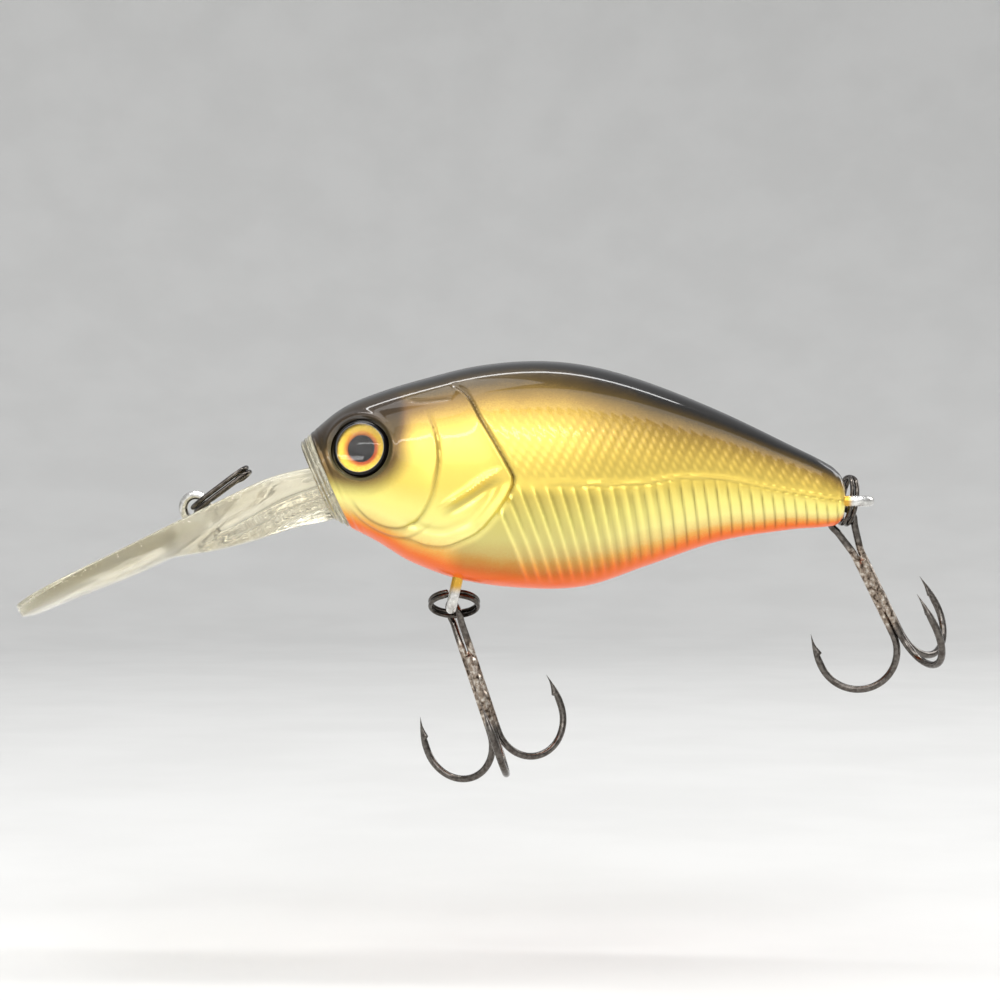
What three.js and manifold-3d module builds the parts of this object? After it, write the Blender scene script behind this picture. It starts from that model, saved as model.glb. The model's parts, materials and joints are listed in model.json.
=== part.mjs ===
// A deep-diving crankbait fishing lure: a hollow two-shell body with rattle balls inside, a clear
// diving lip with a wire line tie, three split rings and two treble hooks. Millimetres, +Z up.
// The lure swims level: nose at -X, tail at +X, back up, left flank at -Y.
// The origin is the middle of the line tie's loop, where the fishing line holds the lure.
import * as THREE from "three";
import { mergeVertices } from "three/addons/utils/BufferGeometryUtils.js";
import Module from "manifold-3d";

const wasm = await Module();
wasm.setup();

// ---- Driving dimensions ----------------------------------------------------------------------

// Body outlines as [x, value]: back line, belly line, half width, and height of the widest line.
const BACK = [
  [8.5, 4.6], [11, 6.9], [14.7, 10], [18.5, 11.7], [23.8, 13.3], [29, 14.5], [34.8, 14.95],
  [40, 14.45], [45.8, 12.85], [53.2, 9.9], [60.5, 6.4], [64.6, 4.3], [65.9, 3.1],
];
const BELLY = [
  [8.5, 1.6], [14.2, -1.2], [18.3, -3.3], [22, -5.5], [27.5, -7.4], [34.8, -8.2],
  [40, -7.85], [45.8, -5.9], [53.2, -3.4], [60.5, -2.2], [64.9, -1.8], [65.9, -1.2],
];
const HALF_WIDTH = [
  [8.5, 2.6], [11, 3.8], [14.7, 5.3], [18.5, 6.4], [24, 7.3], [31, 7.6],
  [38, 7.2], [45.8, 5.9], [53.2, 4.4], [60.5, 3.1], [64.6, 2.5], [65.9, 2.15],
];
const WIDEST = [[8.5, 3.2], [14.2, 4], [20, 3.6], [28, 2.6], [36, 2.4], [46, 2.9], [56, 2.3], [65.9, 0.9]];
const SECTION_POWER = 2.3; // superellipse power of the body's cross-section
const NOSE_X = 8.5;
const TAIL_X = 65.9;
const SEAM_GAP = 0.1; // between the two shells
const WALL = 1.3;
const CAVITY = [18.5, 59.5]; // the hollow's ends; the head and the tail are solid around their inserts

// The mouth is cut off flat, leaning back, and its first millimetres belong to the clear lip piece.
const FACE_POINT = new THREE.Vector3(12.5, 0, 2.6);
const FACE_LEAN = THREE.MathUtils.degToRad(23.5);
const COLLAR_DEPTH = 1.3;
const COLLAR_GAP = 0.05;

// The diving lip, in its own frame: origin at the line tie, x towards the body, z out of the top face.
const LIP_PITCH = THREE.MathUtils.degToRad(26.2);
const LIP_TIP_X = -20.2;
const LIP_ROOT_X = 16.5;
const LIP_EDGE_Z = [[-20.2, -0.8], [-17, -0.5], [-10, -0.35], [7, -0.35], [10.4, -0.8], [16.5, -2.6]];
const LIP_HALF_WIDTH = [
  [-20.2, 3], [-19.6, 4.6], [-18, 6.6], [-14.5, 8.1], [-10, 8.4], [-5, 7.8], [1, 6.7], [7, 5.6],
  [11, 4.6], [16.5, 3.4],
];
const LIP_CUP = [[-20.2, 0.2], [-18.8, 0.6], [-13.4, 1.3], [-8.4, 1.75], [-2, 1.7], [5, 1.4], [16.5, 0.7]];
const LIP_KEEL = [[-20.2, 0], [-5, 0], [-3, 0.5], [0, 1.5], [5, 2.7], [11.4, 3.6], [16.5, 3.2]];
const LIP_KEEL_HALF_WIDTH = 2.6;
const LIP_THICKNESS = 1.4;

// Wires and rings.
const HANGER_WIRE = 1.1;
const TIE_WIRE = 0.9;
const TIE_RADIUS = 1.35;
const TIE_OPENING = THREE.MathUtils.degToRad(42); // how far below its middle the loop's legs turn down
const TIE_LEG_SPREAD = 0.6;
const TIE_DEPTH = -3.1; // where its legs lie inside the lip, in the lip's frame
const LOOP_RADIUS = 1.4;
const BELLY_LEGS = 4.6; // the hangers' legs, from the loop's middle to the bent feet that lock them
const TAIL_LEGS = 4.4;
const FOOT = 1.5;
const RING_WIRE = 0.54;
const RING_RADIUS = 2.45;
const RING_COIL_GAP = 0.04;
const OVAL_WIRE = 0.5;
const OVAL_RADIUS = 1.8;
const OVAL_STRAIGHT = 3.2;
const CLEARANCE = 0.12; // round every insert held by the shells or the lip

// Places of the two hanger loops' holes, and how the belly hanger leans.
const BELLY_HOLE = new THREE.Vector3(26.28, 0, -8.88);
const BELLY_LEAN = THREE.MathUtils.degToRad(12.5);
const TAIL_HOLE = new THREE.Vector3(67.1, 0, 0.7);

// Treble hooks, in their own frame: origin in the eye's hole, shank down -Z.
const HOOK_WIRE = 0.82;
const EYE_RADIUS = 1.25;
const EYE_END = 3.6; // depth where the eye's two wires meet
const BEND_RADIUS = 4.05;
const BEND_DEPTH = 12.85;
const POINT_DEPTH = 9.3; // depth of the hook's point
const POINT_LEAN = 0.5; // how far the point leans back over the gap
const POINT_STEPS = [0.35, 0.7, 1]; // the straight run's points, and the wire's share of its width there
const POINT_SHARES = [0.92, 0.62, 0.1];
const PACK_GAP = 0.02; // between the three wires of the shank
const SINGLE_START = 0.9; // the third wire starts this far below the eye's end
const EYE_OPENING = THREE.MathUtils.degToRad(38); // how far below its middle the eye's round part ends

// How the rings and hooks rest.
const LINE_RING_PLACE = new THREE.Vector3(-0.12, 0, -0.2);
const LINE_RING_RISE = THREE.MathUtils.degToRad(37);
const BELLY_RING_PLACE = new THREE.Vector3(26.25, 0, -8.7);
const BELLY_RING_TIP = THREE.MathUtils.degToRad(62);
const BELLY_SWING = THREE.MathUtils.degToRad(18.5);
const BELLY_EYE_TWIST = THREE.MathUtils.degToRad(-65);
const TAIL_RING_PLACE = new THREE.Vector3(67, 0, 0.7);
const TAIL_RING_TURN = THREE.MathUtils.degToRad(98);
const TAIL_RING_LEAN = THREE.MathUtils.degToRad(8);
const TAIL_SWING = THREE.MathUtils.degToRad(26);
const TAIL_SPIN = THREE.MathUtils.degToRad(17.6);
const TAIL_EYE_PLAY = new THREE.Vector3(0, 0.2, 0.4); // its eye's play on the ring, in the ring's frame

// Eyes.
const EYE_PLACE = new THREE.Vector3(16.7, 5.6, 6.2); // right eye; the left one is mirrored
const EYE_YAW = THREE.MathUtils.degToRad(13);
const EYE_PITCH = THREE.MathUtils.degToRad(9);
const EYE_DISC_RADIUS = 2.85;
const SOCKET_RADIUS = 3.05;
const SOCKET_DEPTH = 0.95;
const FOIL_THICKNESS = 0.2;
const EYE_GAP = 0.04; // under the foil and under the dome
const DOME_RIM = 0.25;
const DOME_HEIGHT = 1.3;

// Loose balls and their rooms.
const TRANSFER_BALL = { radius: 2.4, x: 41, z: 1 };
const CHANNEL = { x: [36, 50], half: 2.65, wall: 0.8 };
const RATTLE_RADIUS = 1.5;
const RATTLE_X = [22.6, 26.6];
const RATTLE_Z = 5.2;
const CELL_HALF = 1.65;
const CELL_WALL = 0.7;
const WEIGHT = { radius: 1.9, straight: 3.6, x: 32, z: -4.3 };
const WEIGHT_RIBS = [29.3, 34];
const BELLY_BLOCK = { x: [24.4, 28.6], low: -9, top: -2.6, half: 4.6 };
const PINS = [[32.5, 10.2], [56, 2.6]]; // x and z of the shells' locating pins
const PIN_RADIUS = 0.8;
const PIN_LENGTH = 1.6;

// ---- Helpers ---------------------------------------------------------------------------------

// A smooth function through [x, value] points.
function profile(points) {
  const slope = (i) => {
    const a = points[Math.max(i - 1, 0)];
    const b = points[Math.min(i + 1, points.length - 1)];
    return (b[1] - a[1]) / (b[0] - a[0]);
  };
  return (x) => {
    let i = 0;
    while (i < points.length - 2 && x > points[i + 1][0]) i += 1;
    const [[x0, v0], [x1, v1]] = [points[i], points[i + 1]];
    const span = x1 - x0;
    const t = THREE.MathUtils.clamp((x - x0) / span, 0, 1);
    const ease = t * t * (3 - 2 * t);
    return (
      v0 + (v1 - v0) * ease + span * t * (1 - t) * ((1 - t) * slope(i) - t * slope(i + 1))
    );
  };
}

// A closed skin: a capped cylinder whose rings are placed by place(t, angle), t from 0 to 1.
function loft(rows, sides, place) {
  const skin = new THREE.CylinderGeometry(1, 1, 1, sides, rows);
  const at = skin.getAttribute("position");
  for (let i = 0; i < at.count; i += 1) {
    const t = Math.round((0.5 - at.getY(i)) * rows) / rows;
    const onAxis = Math.hypot(at.getX(i), at.getZ(i)) < 0.5;
    const angle = Math.round((Math.atan2(at.getX(i), at.getZ(i)) / (2 * Math.PI)) * sides);
    const turn = (((angle + sides) % sides) * 2 * Math.PI) / sides;
    const point = onAxis ? place(t, 0).lerp(place(t, Math.PI), 0.5) : place(t, turn);
    at.setXYZ(i, point.x, point.y, point.z);
  }
  return skin;
}

// A solid wire through points, in its own radius or in one radius for each point.
function wire(points, radius, sides = 8) {
  const tangents = points.map((_, i) =>
    points[Math.min(i + 1, points.length - 1)].clone().sub(points[Math.max(i - 1, 0)]).normalize(),
  );
  const first = new THREE.Vector3(0.31, 0.52, 0.79).cross(tangents[0]).normalize();
  const normals = [first];
  tangents.slice(1).forEach((tangent, i) => {
    const carried = normals[i].clone().addScaledVector(tangent, -normals[i].dot(tangent));
    normals.push(carried.normalize());
  });
  return loft(points.length - 1, sides, (t, angle) => {
    const i = Math.round(t * (points.length - 1));
    const r = Array.isArray(radius) ? radius[i] : radius;
    const side = tangents[i].clone().cross(normals[i]);
    return points[i]
      .clone()
      .addScaledVector(normals[i], r * Math.cos(angle))
      .addScaledVector(side, -r * Math.sin(angle));
  });
}

// The same wire, thicker by the clearance and longer at both ends, to cut its seat with.
function wireSeat(points, radius) {
  const [a, b] = [points[0], points[1]];
  const [y, z] = [points[points.length - 2], points[points.length - 1]];
  const before = a.clone().addScaledVector(a.clone().sub(b).normalize(), 2 * CLEARANCE);
  const after = z.clone().addScaledVector(z.clone().sub(y).normalize(), 2 * CLEARANCE);
  return wire([before, ...points, after], radius + CLEARANCE);
}

// Points on an arc in the plane of the unit vectors u and v.
function arc(centre, u, v, radius, from, to, steps) {
  return Array.from({ length: steps + 1 }, (_, i) => {
    const a = from + ((to - from) * i) / steps;
    return centre
      .clone()
      .addScaledVector(u, radius * Math.cos(a))
      .addScaledVector(v, radius * Math.sin(a));
  });
}

function solid(geometry, matrix = new THREE.Matrix4()) {
  const bare = geometry.index ? geometry.toNonIndexed() : geometry.clone();
  bare.deleteAttribute("normal");
  bare.deleteAttribute("uv");
  bare.applyMatrix4(matrix);
  const merged = mergeVertices(bare, 1e-4);
  return new wasm.Manifold(
    new wasm.Mesh({
      numProp: 3,
      vertProperties: merged.getAttribute("position").array,
      triVerts: new Uint32Array(merged.index.array),
    }),
  );
}

function geometryOf(made) {
  const { vertProperties, triVerts } = made.getMesh();
  const geometry = new THREE.BufferGeometry();
  geometry.setAttribute("position", new THREE.BufferAttribute(vertProperties, 3));
  geometry.setIndex(new THREE.BufferAttribute(triVerts, 1));
  return geometry;
}

// A box from its lowest to its highest corner.
function block(low, high) {
  const size = high.map((v, i) => v - low[i]);
  const middle = high.map((v, i) => (v + low[i]) / 2);
  return solid(new THREE.BoxGeometry(...size).translate(...middle));
}

const far = 100; // past the whole lure
const X = new THREE.Vector3(1, 0, 0);
const Y = new THREE.Vector3(0, 1, 0);
const Z = new THREE.Vector3(0, 0, 1);
const lipFrame = new THREE.Matrix4().makeRotationY(-LIP_PITCH);

// ---- Body outline ----------------------------------------------------------------------------

const backAt = profile(BACK);
const bellyAt = profile(BELLY);
const halfWidthAt = profile(HALF_WIDTH);
const widestAt = profile(WIDEST);

function bodySkin(from, to, inset, rows, sides) {
  const shape = (v) => Math.sign(v) * Math.abs(v) ** (2 / SECTION_POWER);
  return loft(rows, sides, (t, angle) => {
    const x = from + (to - from) * t;
    const middle = widestAt(x);
    const upper = backAt(x) - inset - middle;
    const lower = middle - bellyAt(x) - inset;
    const height = Math.cos(angle) > 0 ? upper : lower;
    return new THREE.Vector3(
      x,
      (halfWidthAt(x) - inset) * shape(Math.sin(angle)),
      middle + height * shape(Math.cos(angle)),
    );
  });
}

// Everything more than depth behind the mouth's flat face.
function behindFace(depth) {
  const half = new THREE.BoxGeometry(2 * far, 2 * far, 2 * far).translate(depth + far, 0, 0);
  return solid(half.rotateY(-FACE_LEAN).translate(...FACE_POINT));
}

const outer = solid(bodySkin(NOSE_X, TAIL_X, 0, 34, 32));
const cavity = solid(bodySkin(CAVITY[0], CAVITY[1], WALL, 16, 24));

// ---- Hangers and line tie --------------------------------------------------------------------

// A loop of wire in the plane of across and up, its hole at the origin, with legs going up.
function loopPoints(across, up, radius, legLength) {
  const side = (s, h) => new THREE.Vector3().addScaledVector(across, s).addScaledVector(up, h);
  const bend = arc(new THREE.Vector3(), across, up, radius, -Math.PI, 0, 12);
  return [side(-radius, legLength), ...bend, side(radius, legLength)];
}

function bellyHangerPoints() {
  const frame = new THREE.Matrix4().makeRotationY(BELLY_LEAN).setPosition(BELLY_HOLE);
  const loop = loopPoints(Y, Z, LOOP_RADIUS, BELLY_LEGS);
  const foot = (s) => new THREE.Vector3(0, s * (LOOP_RADIUS + FOOT), BELLY_LEGS + FOOT / 2);
  return [foot(-1), ...loop, foot(1)].map((p) => p.applyMatrix4(frame));
}

function tailHangerPoints() {
  const loop = loopPoints(Y, X.clone().negate(), LOOP_RADIUS, TAIL_LEGS);
  const foot = (s) => new THREE.Vector3(-TAIL_LEGS - FOOT / 2, s * LOOP_RADIUS, -FOOT);
  return [foot(-1), ...loop, foot(1)].map((p) => p.add(TAIL_HOLE));
}

// The line tie: a loop standing on the lip, its two legs running back inside the lip's keel.
function lineTiePoints() {
  const leg = (s, x, z) => new THREE.Vector3(x, s * TIE_LEG_SPREAD, z);
  const rear = LIP_ROOT_X + 0.9;
  const under = TIE_DEPTH - TIE_WIRE; // the front leg runs back below the rear one
  const start = [leg(-1, rear, TIE_DEPTH - 1), leg(-1, 2.4, TIE_DEPTH), leg(-1, 0.9, TIE_DEPTH + 0.5)];
  const end = [leg(1, -0.9, TIE_DEPTH + 0.5), leg(1, 2.2, under), leg(1, rear, under - 1)];
  const loop = arc(new THREE.Vector3(), X, Z, TIE_RADIUS, -TIE_OPENING, Math.PI + TIE_OPENING, 16);
  loop.forEach((p, i) => {
    p.y = THREE.MathUtils.lerp(-TIE_LEG_SPREAD, TIE_LEG_SPREAD, i / (loop.length - 1));
  });
  return [...start, ...loop, ...end].map((p) => p.applyMatrix4(lipFrame));
}

// ---- Diving lip ------------------------------------------------------------------------------

const lipEdgeAt = profile(LIP_EDGE_Z);
const lipHalfWidthAt = profile(LIP_HALF_WIDTH);
const lipCupAt = profile(LIP_CUP);
const lipKeelAt = profile(LIP_KEEL);

// A spoon-shaped plate with a rounded keel under its root, larger all round by grow.
// The powers of across shape the tip's corners, the rounded edges and the keel's sides.
function lipSkin(grow) {
  const from = LIP_TIP_X - grow;
  const to = LIP_ROOT_X + grow;
  return loft(30, 28, (t, angle) => {
    const x = from + (to - from) * t;
    const across = Math.sign(Math.sin(angle)) * Math.abs(Math.sin(angle)) ** 0.75;
    const y = (lipHalfWidthAt(x) + grow) * across;
    const top = lipEdgeAt(x) - lipCupAt(x) * (1 - across * across) + grow;
    const rounding = 0.3 * LIP_THICKNESS * across ** 8;
    const keel = lipKeelAt(x) / (1 + (y / LIP_KEEL_HALF_WIDTH) ** 6);
    const bottom = top - LIP_THICKNESS - keel - 2 * grow;
    const z = Math.cos(angle) > 0 ? top - rounding : bottom + rounding;
    return new THREE.Vector3(x, y, Math.abs(Math.cos(angle)) < 1e-9 ? (top + bottom) / 2 : z);
  });
}

const tieSeat = solid(wireSeat(lineTiePoints(), TIE_WIRE / 2));
const collar = outer.intersect(behindFace(0)).subtract(behindFace(COLLAR_DEPTH));
const lip = solid(lipSkin(0), lipFrame).add(collar).subtract(tieSeat);

// ---- Shells ----------------------------------------------------------------------------------

// Moves the right eye's own frame, +Z out of the eye, to its place on a flank: side 1 right, -1 left.
function eyeFrame(side) {
  const outward = new THREE.Vector3(
    -Math.sin(EYE_YAW) * Math.cos(EYE_PITCH),
    side * Math.cos(EYE_YAW) * Math.cos(EYE_PITCH),
    Math.sin(EYE_PITCH),
  );
  const turn = new THREE.Quaternion().setFromUnitVectors(Z, outward);
  const place = new THREE.Vector3(EYE_PLACE.x, side * EYE_PLACE.y, EYE_PLACE.z);
  return new THREE.Matrix4().compose(place, turn, new THREE.Vector3(1, 1, 1));
}

function channelWalls() {
  const { x, half, wall } = CHANNEL;
  const { z } = TRANSFER_BALL;
  const reach = half + wall;
  const outside = block([x[0] - wall, -reach, z - reach], [x[1] + wall, reach, z + reach]);
  return outside.subtract(block([x[0], -half, z - half], [x[1], half, z + half]));
}

// Rooms across the head for the two rattle balls, open to the shell's walls at their ends.
function rattleCells() {
  const reach = CELL_HALF + CELL_WALL;
  const cell = (x, r) => [[x - r, -far, RATTLE_Z - r], [x + r, far, RATTLE_Z + r]];
  const walls = RATTLE_X.map((x) => block(...cell(x, reach))).reduce((a, b) => a.add(b));
  const rooms = RATTLE_X.map((x) => block(...cell(x, CELL_HALF))).reduce((a, b) => a.add(b));
  return { walls, rooms: rooms.intersect(cavity) };
}

// The block that holds the belly hanger's legs and the two ribs that cradle the weight.
function bellyBlocks() {
  const { x, low, top, half } = BELLY_BLOCK;
  const ribs = WEIGHT_RIBS.map((at) => block([at, -far, low], [at + 2 * CELL_WALL, far, WEIGHT.z]));
  return ribs.reduce((a, b) => a.add(b), block([x[0], -half, low], [x[1], half, top]));
}

// Both shells in one piece: the wall, the rooms and blocks inside it, and the inserts' seats cut out.
function hullBody() {
  const cells = rattleCells();
  const inside = cells.walls.subtract(cells.rooms).add(channelWalls()).add(bellyBlocks());
  const seats = [
    solid(lipSkin(CLEARANCE), lipFrame),
    tieSeat,
    solid(weightGeometry(CLEARANCE)),
    solid(wireSeat(bellyHangerPoints(), HANGER_WIRE / 2)),
    solid(wireSeat(tailHangerPoints(), HANGER_WIRE / 2)),
  ];
  const front = behindFace(COLLAR_DEPTH + COLLAR_GAP);
  const full = outer.subtract(cavity).add(inside.intersect(outer)).intersect(front);
  return seats.reduce((rest, seat) => rest.subtract(seat), full);
}

// One half of the body: side 1 right, -1 left. The left half carries the locating pins.
function shell(side) {
  const gap = (side * SEAM_GAP) / 2;
  const [low, high] = side > 0 ? [gap, far] : [-far, gap];
  const reach = 6; // far enough out of the socket to clear the flank
  const socket = new THREE.CylinderGeometry(SOCKET_RADIUS, SOCKET_RADIUS, reach, 36);
  const place = socket.rotateX(Math.PI / 2).translate(0, 0, reach / 2 - SOCKET_DEPTH);
  const cut = solid(place, eyeFrame(side));
  const post = (x, z, radius, from, to) => {
    const pin = new THREE.CylinderGeometry(radius, radius, to - from, 16);
    return solid(pin.translate(0, (from + to) / 2, 0).translate(x, 0, z));
  };
  let made = hullBody();
  PINS.forEach(([x, z]) => {
    made = made.add(post(x, z, 2 * PIN_RADIUS, -far, far).intersect(outer));
  });
  made = made.intersect(block([-far, low, -far], [far, high, far])).subtract(cut);
  PINS.forEach(([x, z]) => {
    const seat = PIN_RADIUS + CLEARANCE;
    made = side < 0
      ? made.add(post(x, z, PIN_RADIUS, -1, PIN_LENGTH))
      : made.subtract(post(x, z, seat, -1, PIN_LENGTH + 2 * CLEARANCE));
  });
  return made;
}

// ---- Inside pieces, eyes ---------------------------------------------------------------------

function weightGeometry(grow) {
  const slug = new THREE.CapsuleGeometry(WEIGHT.radius + grow, WEIGHT.straight, 5, 18);
  return slug.rotateZ(Math.PI / 2).translate(WEIGHT.x, 0, WEIGHT.z);
}

// The eye's clear dome, flat below, its base at z 0.
function domeGeometry() {
  const rise = DOME_HEIGHT - DOME_RIM;
  const steps = 8;
  const outline = [new THREE.Vector2(0, 0), new THREE.Vector2(EYE_DISC_RADIUS, 0)];
  for (let i = 0; i <= steps; i += 1) {
    const a = (i / steps) * (Math.PI / 2);
    outline.push(new THREE.Vector2(EYE_DISC_RADIUS * Math.cos(a), DOME_RIM + rise * Math.sin(a)));
  }
  outline[outline.length - 1].x = 0;
  return new THREE.LatheGeometry(outline, 36).rotateX(Math.PI / 2);
}

// ---- Split rings -----------------------------------------------------------------------------

// Two flat coils joined by a short jog, in the XY plane; straight makes the ring oval along X.
function ringGeometry(wireWidth, radius, straight) {
  const step = THREE.MathUtils.degToRad(14);
  const start = THREE.MathUtils.degToRad(104);
  const coils = 50;
  const lift = (wireWidth + RING_COIL_GAP) / 2;
  const points = [];
  for (let i = 0; i <= coils; i += 1) {
    const a = start + i * step;
    const jog = THREE.MathUtils.smoothstep(i, coils / 2 - 2, coils / 2 + 2);
    const shift = (Math.sign(Math.cos(a)) * straight) / 2;
    points.push(new THREE.Vector3(radius * Math.cos(a) + shift, radius * Math.sin(a), lift * (2 * jog - 1)));
  }
  return wire(points, wireWidth / 2, 6);
}

// ---- Treble hooks ----------------------------------------------------------------------------

// The hook's run from the shank round the bend to the point, in the plane of out and -Z.
function bendPoints(shank, out) {
  const down = Z.clone().negate();
  const centre = shank.clone().addScaledVector(out, BEND_RADIUS).setZ(-BEND_DEPTH);
  const bend = arc(centre, out.clone().negate(), down, BEND_RADIUS, 0, Math.PI, 14);
  const rise = BEND_DEPTH - POINT_DEPTH;
  const point = POINT_STEPS.map((t) =>
    centre
      .clone()
      .addScaledVector(out, BEND_RADIUS - POINT_LEAN * t * t)
      .addScaledVector(Z, rise * t),
  );
  return [...bend, ...point];
}

// Radii along a run that ends in a hook point, for its last points.
function taper(count) {
  return Array.from({ length: count }, (_, i) => {
    const share = POINT_SHARES[i - (count - POINT_SHARES.length)] ?? 1;
    return (share * HOOK_WIRE) / 2;
  });
}

// Three wires packed side by side make the shank: two at -Y of the third.
const PACKING = (HOOK_WIRE + PACK_GAP) / Math.sqrt(3);
const rootAt = (out) => out.clone().multiplyScalar(PACKING);
const third = Math.PI / 3;
const LEFT_OUT = new THREE.Vector3(-Math.sin(third), Math.cos(third), 0);
const RIGHT_OUT = new THREE.Vector3(Math.sin(third), Math.cos(third), 0);
const FRONT_OUT = Y.clone().negate();

// One wire: a point, a bend, the shank, the eye, the shank again, a bend and a point.
function doubleHookGeometry(eyeTwist) {
  const half = (out) => bendPoints(rootAt(out), out);
  const across = X.clone().applyAxisAngle(Z, eyeTwist);
  const eyeY = rootAt(LEFT_OUT).y;
  const eye = arc(new THREE.Vector3(), across, Z, EYE_RADIUS, Math.PI + EYE_OPENING, -EYE_OPENING, 14);
  const neck = (out) => rootAt(out).setZ(-EYE_END);
  eye.forEach((p) => p.setY(p.y + eyeY / 2));
  const left = half(LEFT_OUT).reverse();
  const right = half(RIGHT_OUT);
  const points = [...left, neck(LEFT_OUT), ...eye, neck(RIGHT_OUT), ...right];
  const ends = taper(right.length);
  const middle = Array.from({ length: eye.length + 2 }, () => HOOK_WIRE / 2);
  return wire(points, [...[...ends].reverse(), ...middle, ...ends]);
}

function singleHookGeometry() {
  const top = rootAt(FRONT_OUT).setZ(-EYE_END - SINGLE_START);
  const run = bendPoints(rootAt(FRONT_OUT), FRONT_OUT);
  return wire([top, ...run], [HOOK_WIRE / 2, ...taper(run.length)]);
}

// ---- Assembly --------------------------------------------------------------------------------

const root = new THREE.Group();

function material(color, roughness, metalness, opacity = 1) {
  return new THREE.MeshStandardMaterial({ color, roughness, metalness, opacity, transparent: opacity < 1 });
}

const goldPaint = material(0xd9b84a, 0.25, 0.6);
const clear = material(0xf4efdc, 0.05, 0, 0.4);
const steel = material(0xc9c9c6, 0.25, 1);
const blackNickel = material(0x2e2a28, 0.25, 1);
const foil = material(0xf2c230, 0.35, 0.5);
const brass = material(0xb08d3c, 0.35, 1);

function add(name, geometry, surface, parent = root) {
  const mesh = new THREE.Mesh(geometry, surface);
  mesh.name = name;
  parent.add(mesh);
  return mesh;
}

add("left_shell", geometryOf(shell(-1)), goldPaint);
add("right_shell", geometryOf(shell(1)), goldPaint);
add("diving_lip", geometryOf(lip), clear);
add("line_tie_wire", wire(lineTiePoints(), TIE_WIRE / 2), steel);
add("belly_hanger", wire(bellyHangerPoints(), HANGER_WIRE / 2), steel);
add("tail_hanger", wire(tailHangerPoints(), HANGER_WIRE / 2), steel);

for (const [name, side] of [["left_eye", -1], ["right_eye", 1]]) {
  const socket = new THREE.Group();
  socket.applyMatrix4(eyeFrame(side));
  root.add(socket);
  const disc = new THREE.CylinderGeometry(EYE_DISC_RADIUS, EYE_DISC_RADIUS, FOIL_THICKNESS, 36);
  const base = EYE_GAP - SOCKET_DEPTH;
  add(`${name}_foil`, disc.rotateX(Math.PI / 2), foil, socket).position.z = base + FOIL_THICKNESS / 2;
  add(`${name}_dome`, domeGeometry(), clear, socket).position.z = base + FOIL_THICKNESS + EYE_GAP;
}

const ball = (radius) => new THREE.SphereGeometry(radius, 18, 12);
add("belly_weight", weightGeometry(0), brass);
add("transfer_ball", ball(TRANSFER_BALL.radius), steel).position.set(TRANSFER_BALL.x, 0, TRANSFER_BALL.z);
RATTLE_X.forEach((x, i) => {
  const name = ["front_rattle_ball", "rear_rattle_ball"][i];
  add(name, ball(RATTLE_RADIUS), steel).position.set(x, 0, RATTLE_Z);
});

// A group on the root, placed and turned.
function placed(place, turn) {
  const group = new THREE.Group();
  group.position.copy(place);
  group.rotation.copy(turn);
  root.add(group);
  return group;
}

// The oval ring hangs in the line tie by its near end, lying back over the lip.
const lineRing = placed(LINE_RING_PLACE, new THREE.Euler(0, -LINE_RING_RISE, 0));
const oval = ringGeometry(OVAL_WIRE, OVAL_RADIUS, OVAL_STRAIGHT);
add("line_ring", oval.translate(OVAL_RADIUS + OVAL_STRAIGHT / 2, 0, 0), blackNickel, lineRing);

// The belly ring threads its hanger from front to rear and tips over to the right.
const hookRing = ringGeometry(RING_WIRE, RING_RADIUS, 0).rotateX(Math.PI / 2);
const bellyRing = placed(BELLY_RING_PLACE, new THREE.Euler(BELLY_RING_TIP, 0, 0));
add("belly_ring", hookRing.clone().translate(0, 0, -RING_RADIUS), blackNickel, bellyRing);

// The tail ring threads its hanger from above and stands out to the right, leaning back a little.
const tailRing = placed(TAIL_RING_PLACE, new THREE.Euler(0, TAIL_RING_LEAN, TAIL_RING_TURN, "YZX"));
add("tail_ring", hookRing.clone().translate(RING_RADIUS, 0, 0), blackNickel, tailRing);

// A treble hook hung in a ring at a point given in the ring's own frame.
function treble(name, ring, point, swing, spin, eyeTwist) {
  ring.updateMatrixWorld();
  const hook = placed(point.applyMatrix4(ring.matrixWorld), new THREE.Euler(0, -swing, spin, "YZX"));
  add(`${name}_double_hook`, doubleHookGeometry(eyeTwist), blackNickel, hook);
  add(`${name}_single_hook`, singleHookGeometry(), blackNickel, hook);
}

treble("belly", bellyRing, new THREE.Vector3(0, 0, -2 * RING_RADIUS), BELLY_SWING, 0, BELLY_EYE_TWIST);
const tailPoint = new THREE.Vector3(RING_RADIUS, 0, -RING_RADIUS).add(TAIL_EYE_PLAY);
treble("tail", tailRing, tailPoint, TAIL_SWING, TAIL_SPIN, -TAIL_SPIN);

export default root;
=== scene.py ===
"""Looks of a deep-diving crankbait: painted shells, clear lip, eyes, wires, split rings and treble hooks.

Shapes are worked out in millimetres in the part's own frame, and scaled to metres when a mesh is made.
"""
import json
import math
import bmesh
import bpy
import numpy as np
from mathutils import Matrix, Vector


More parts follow.
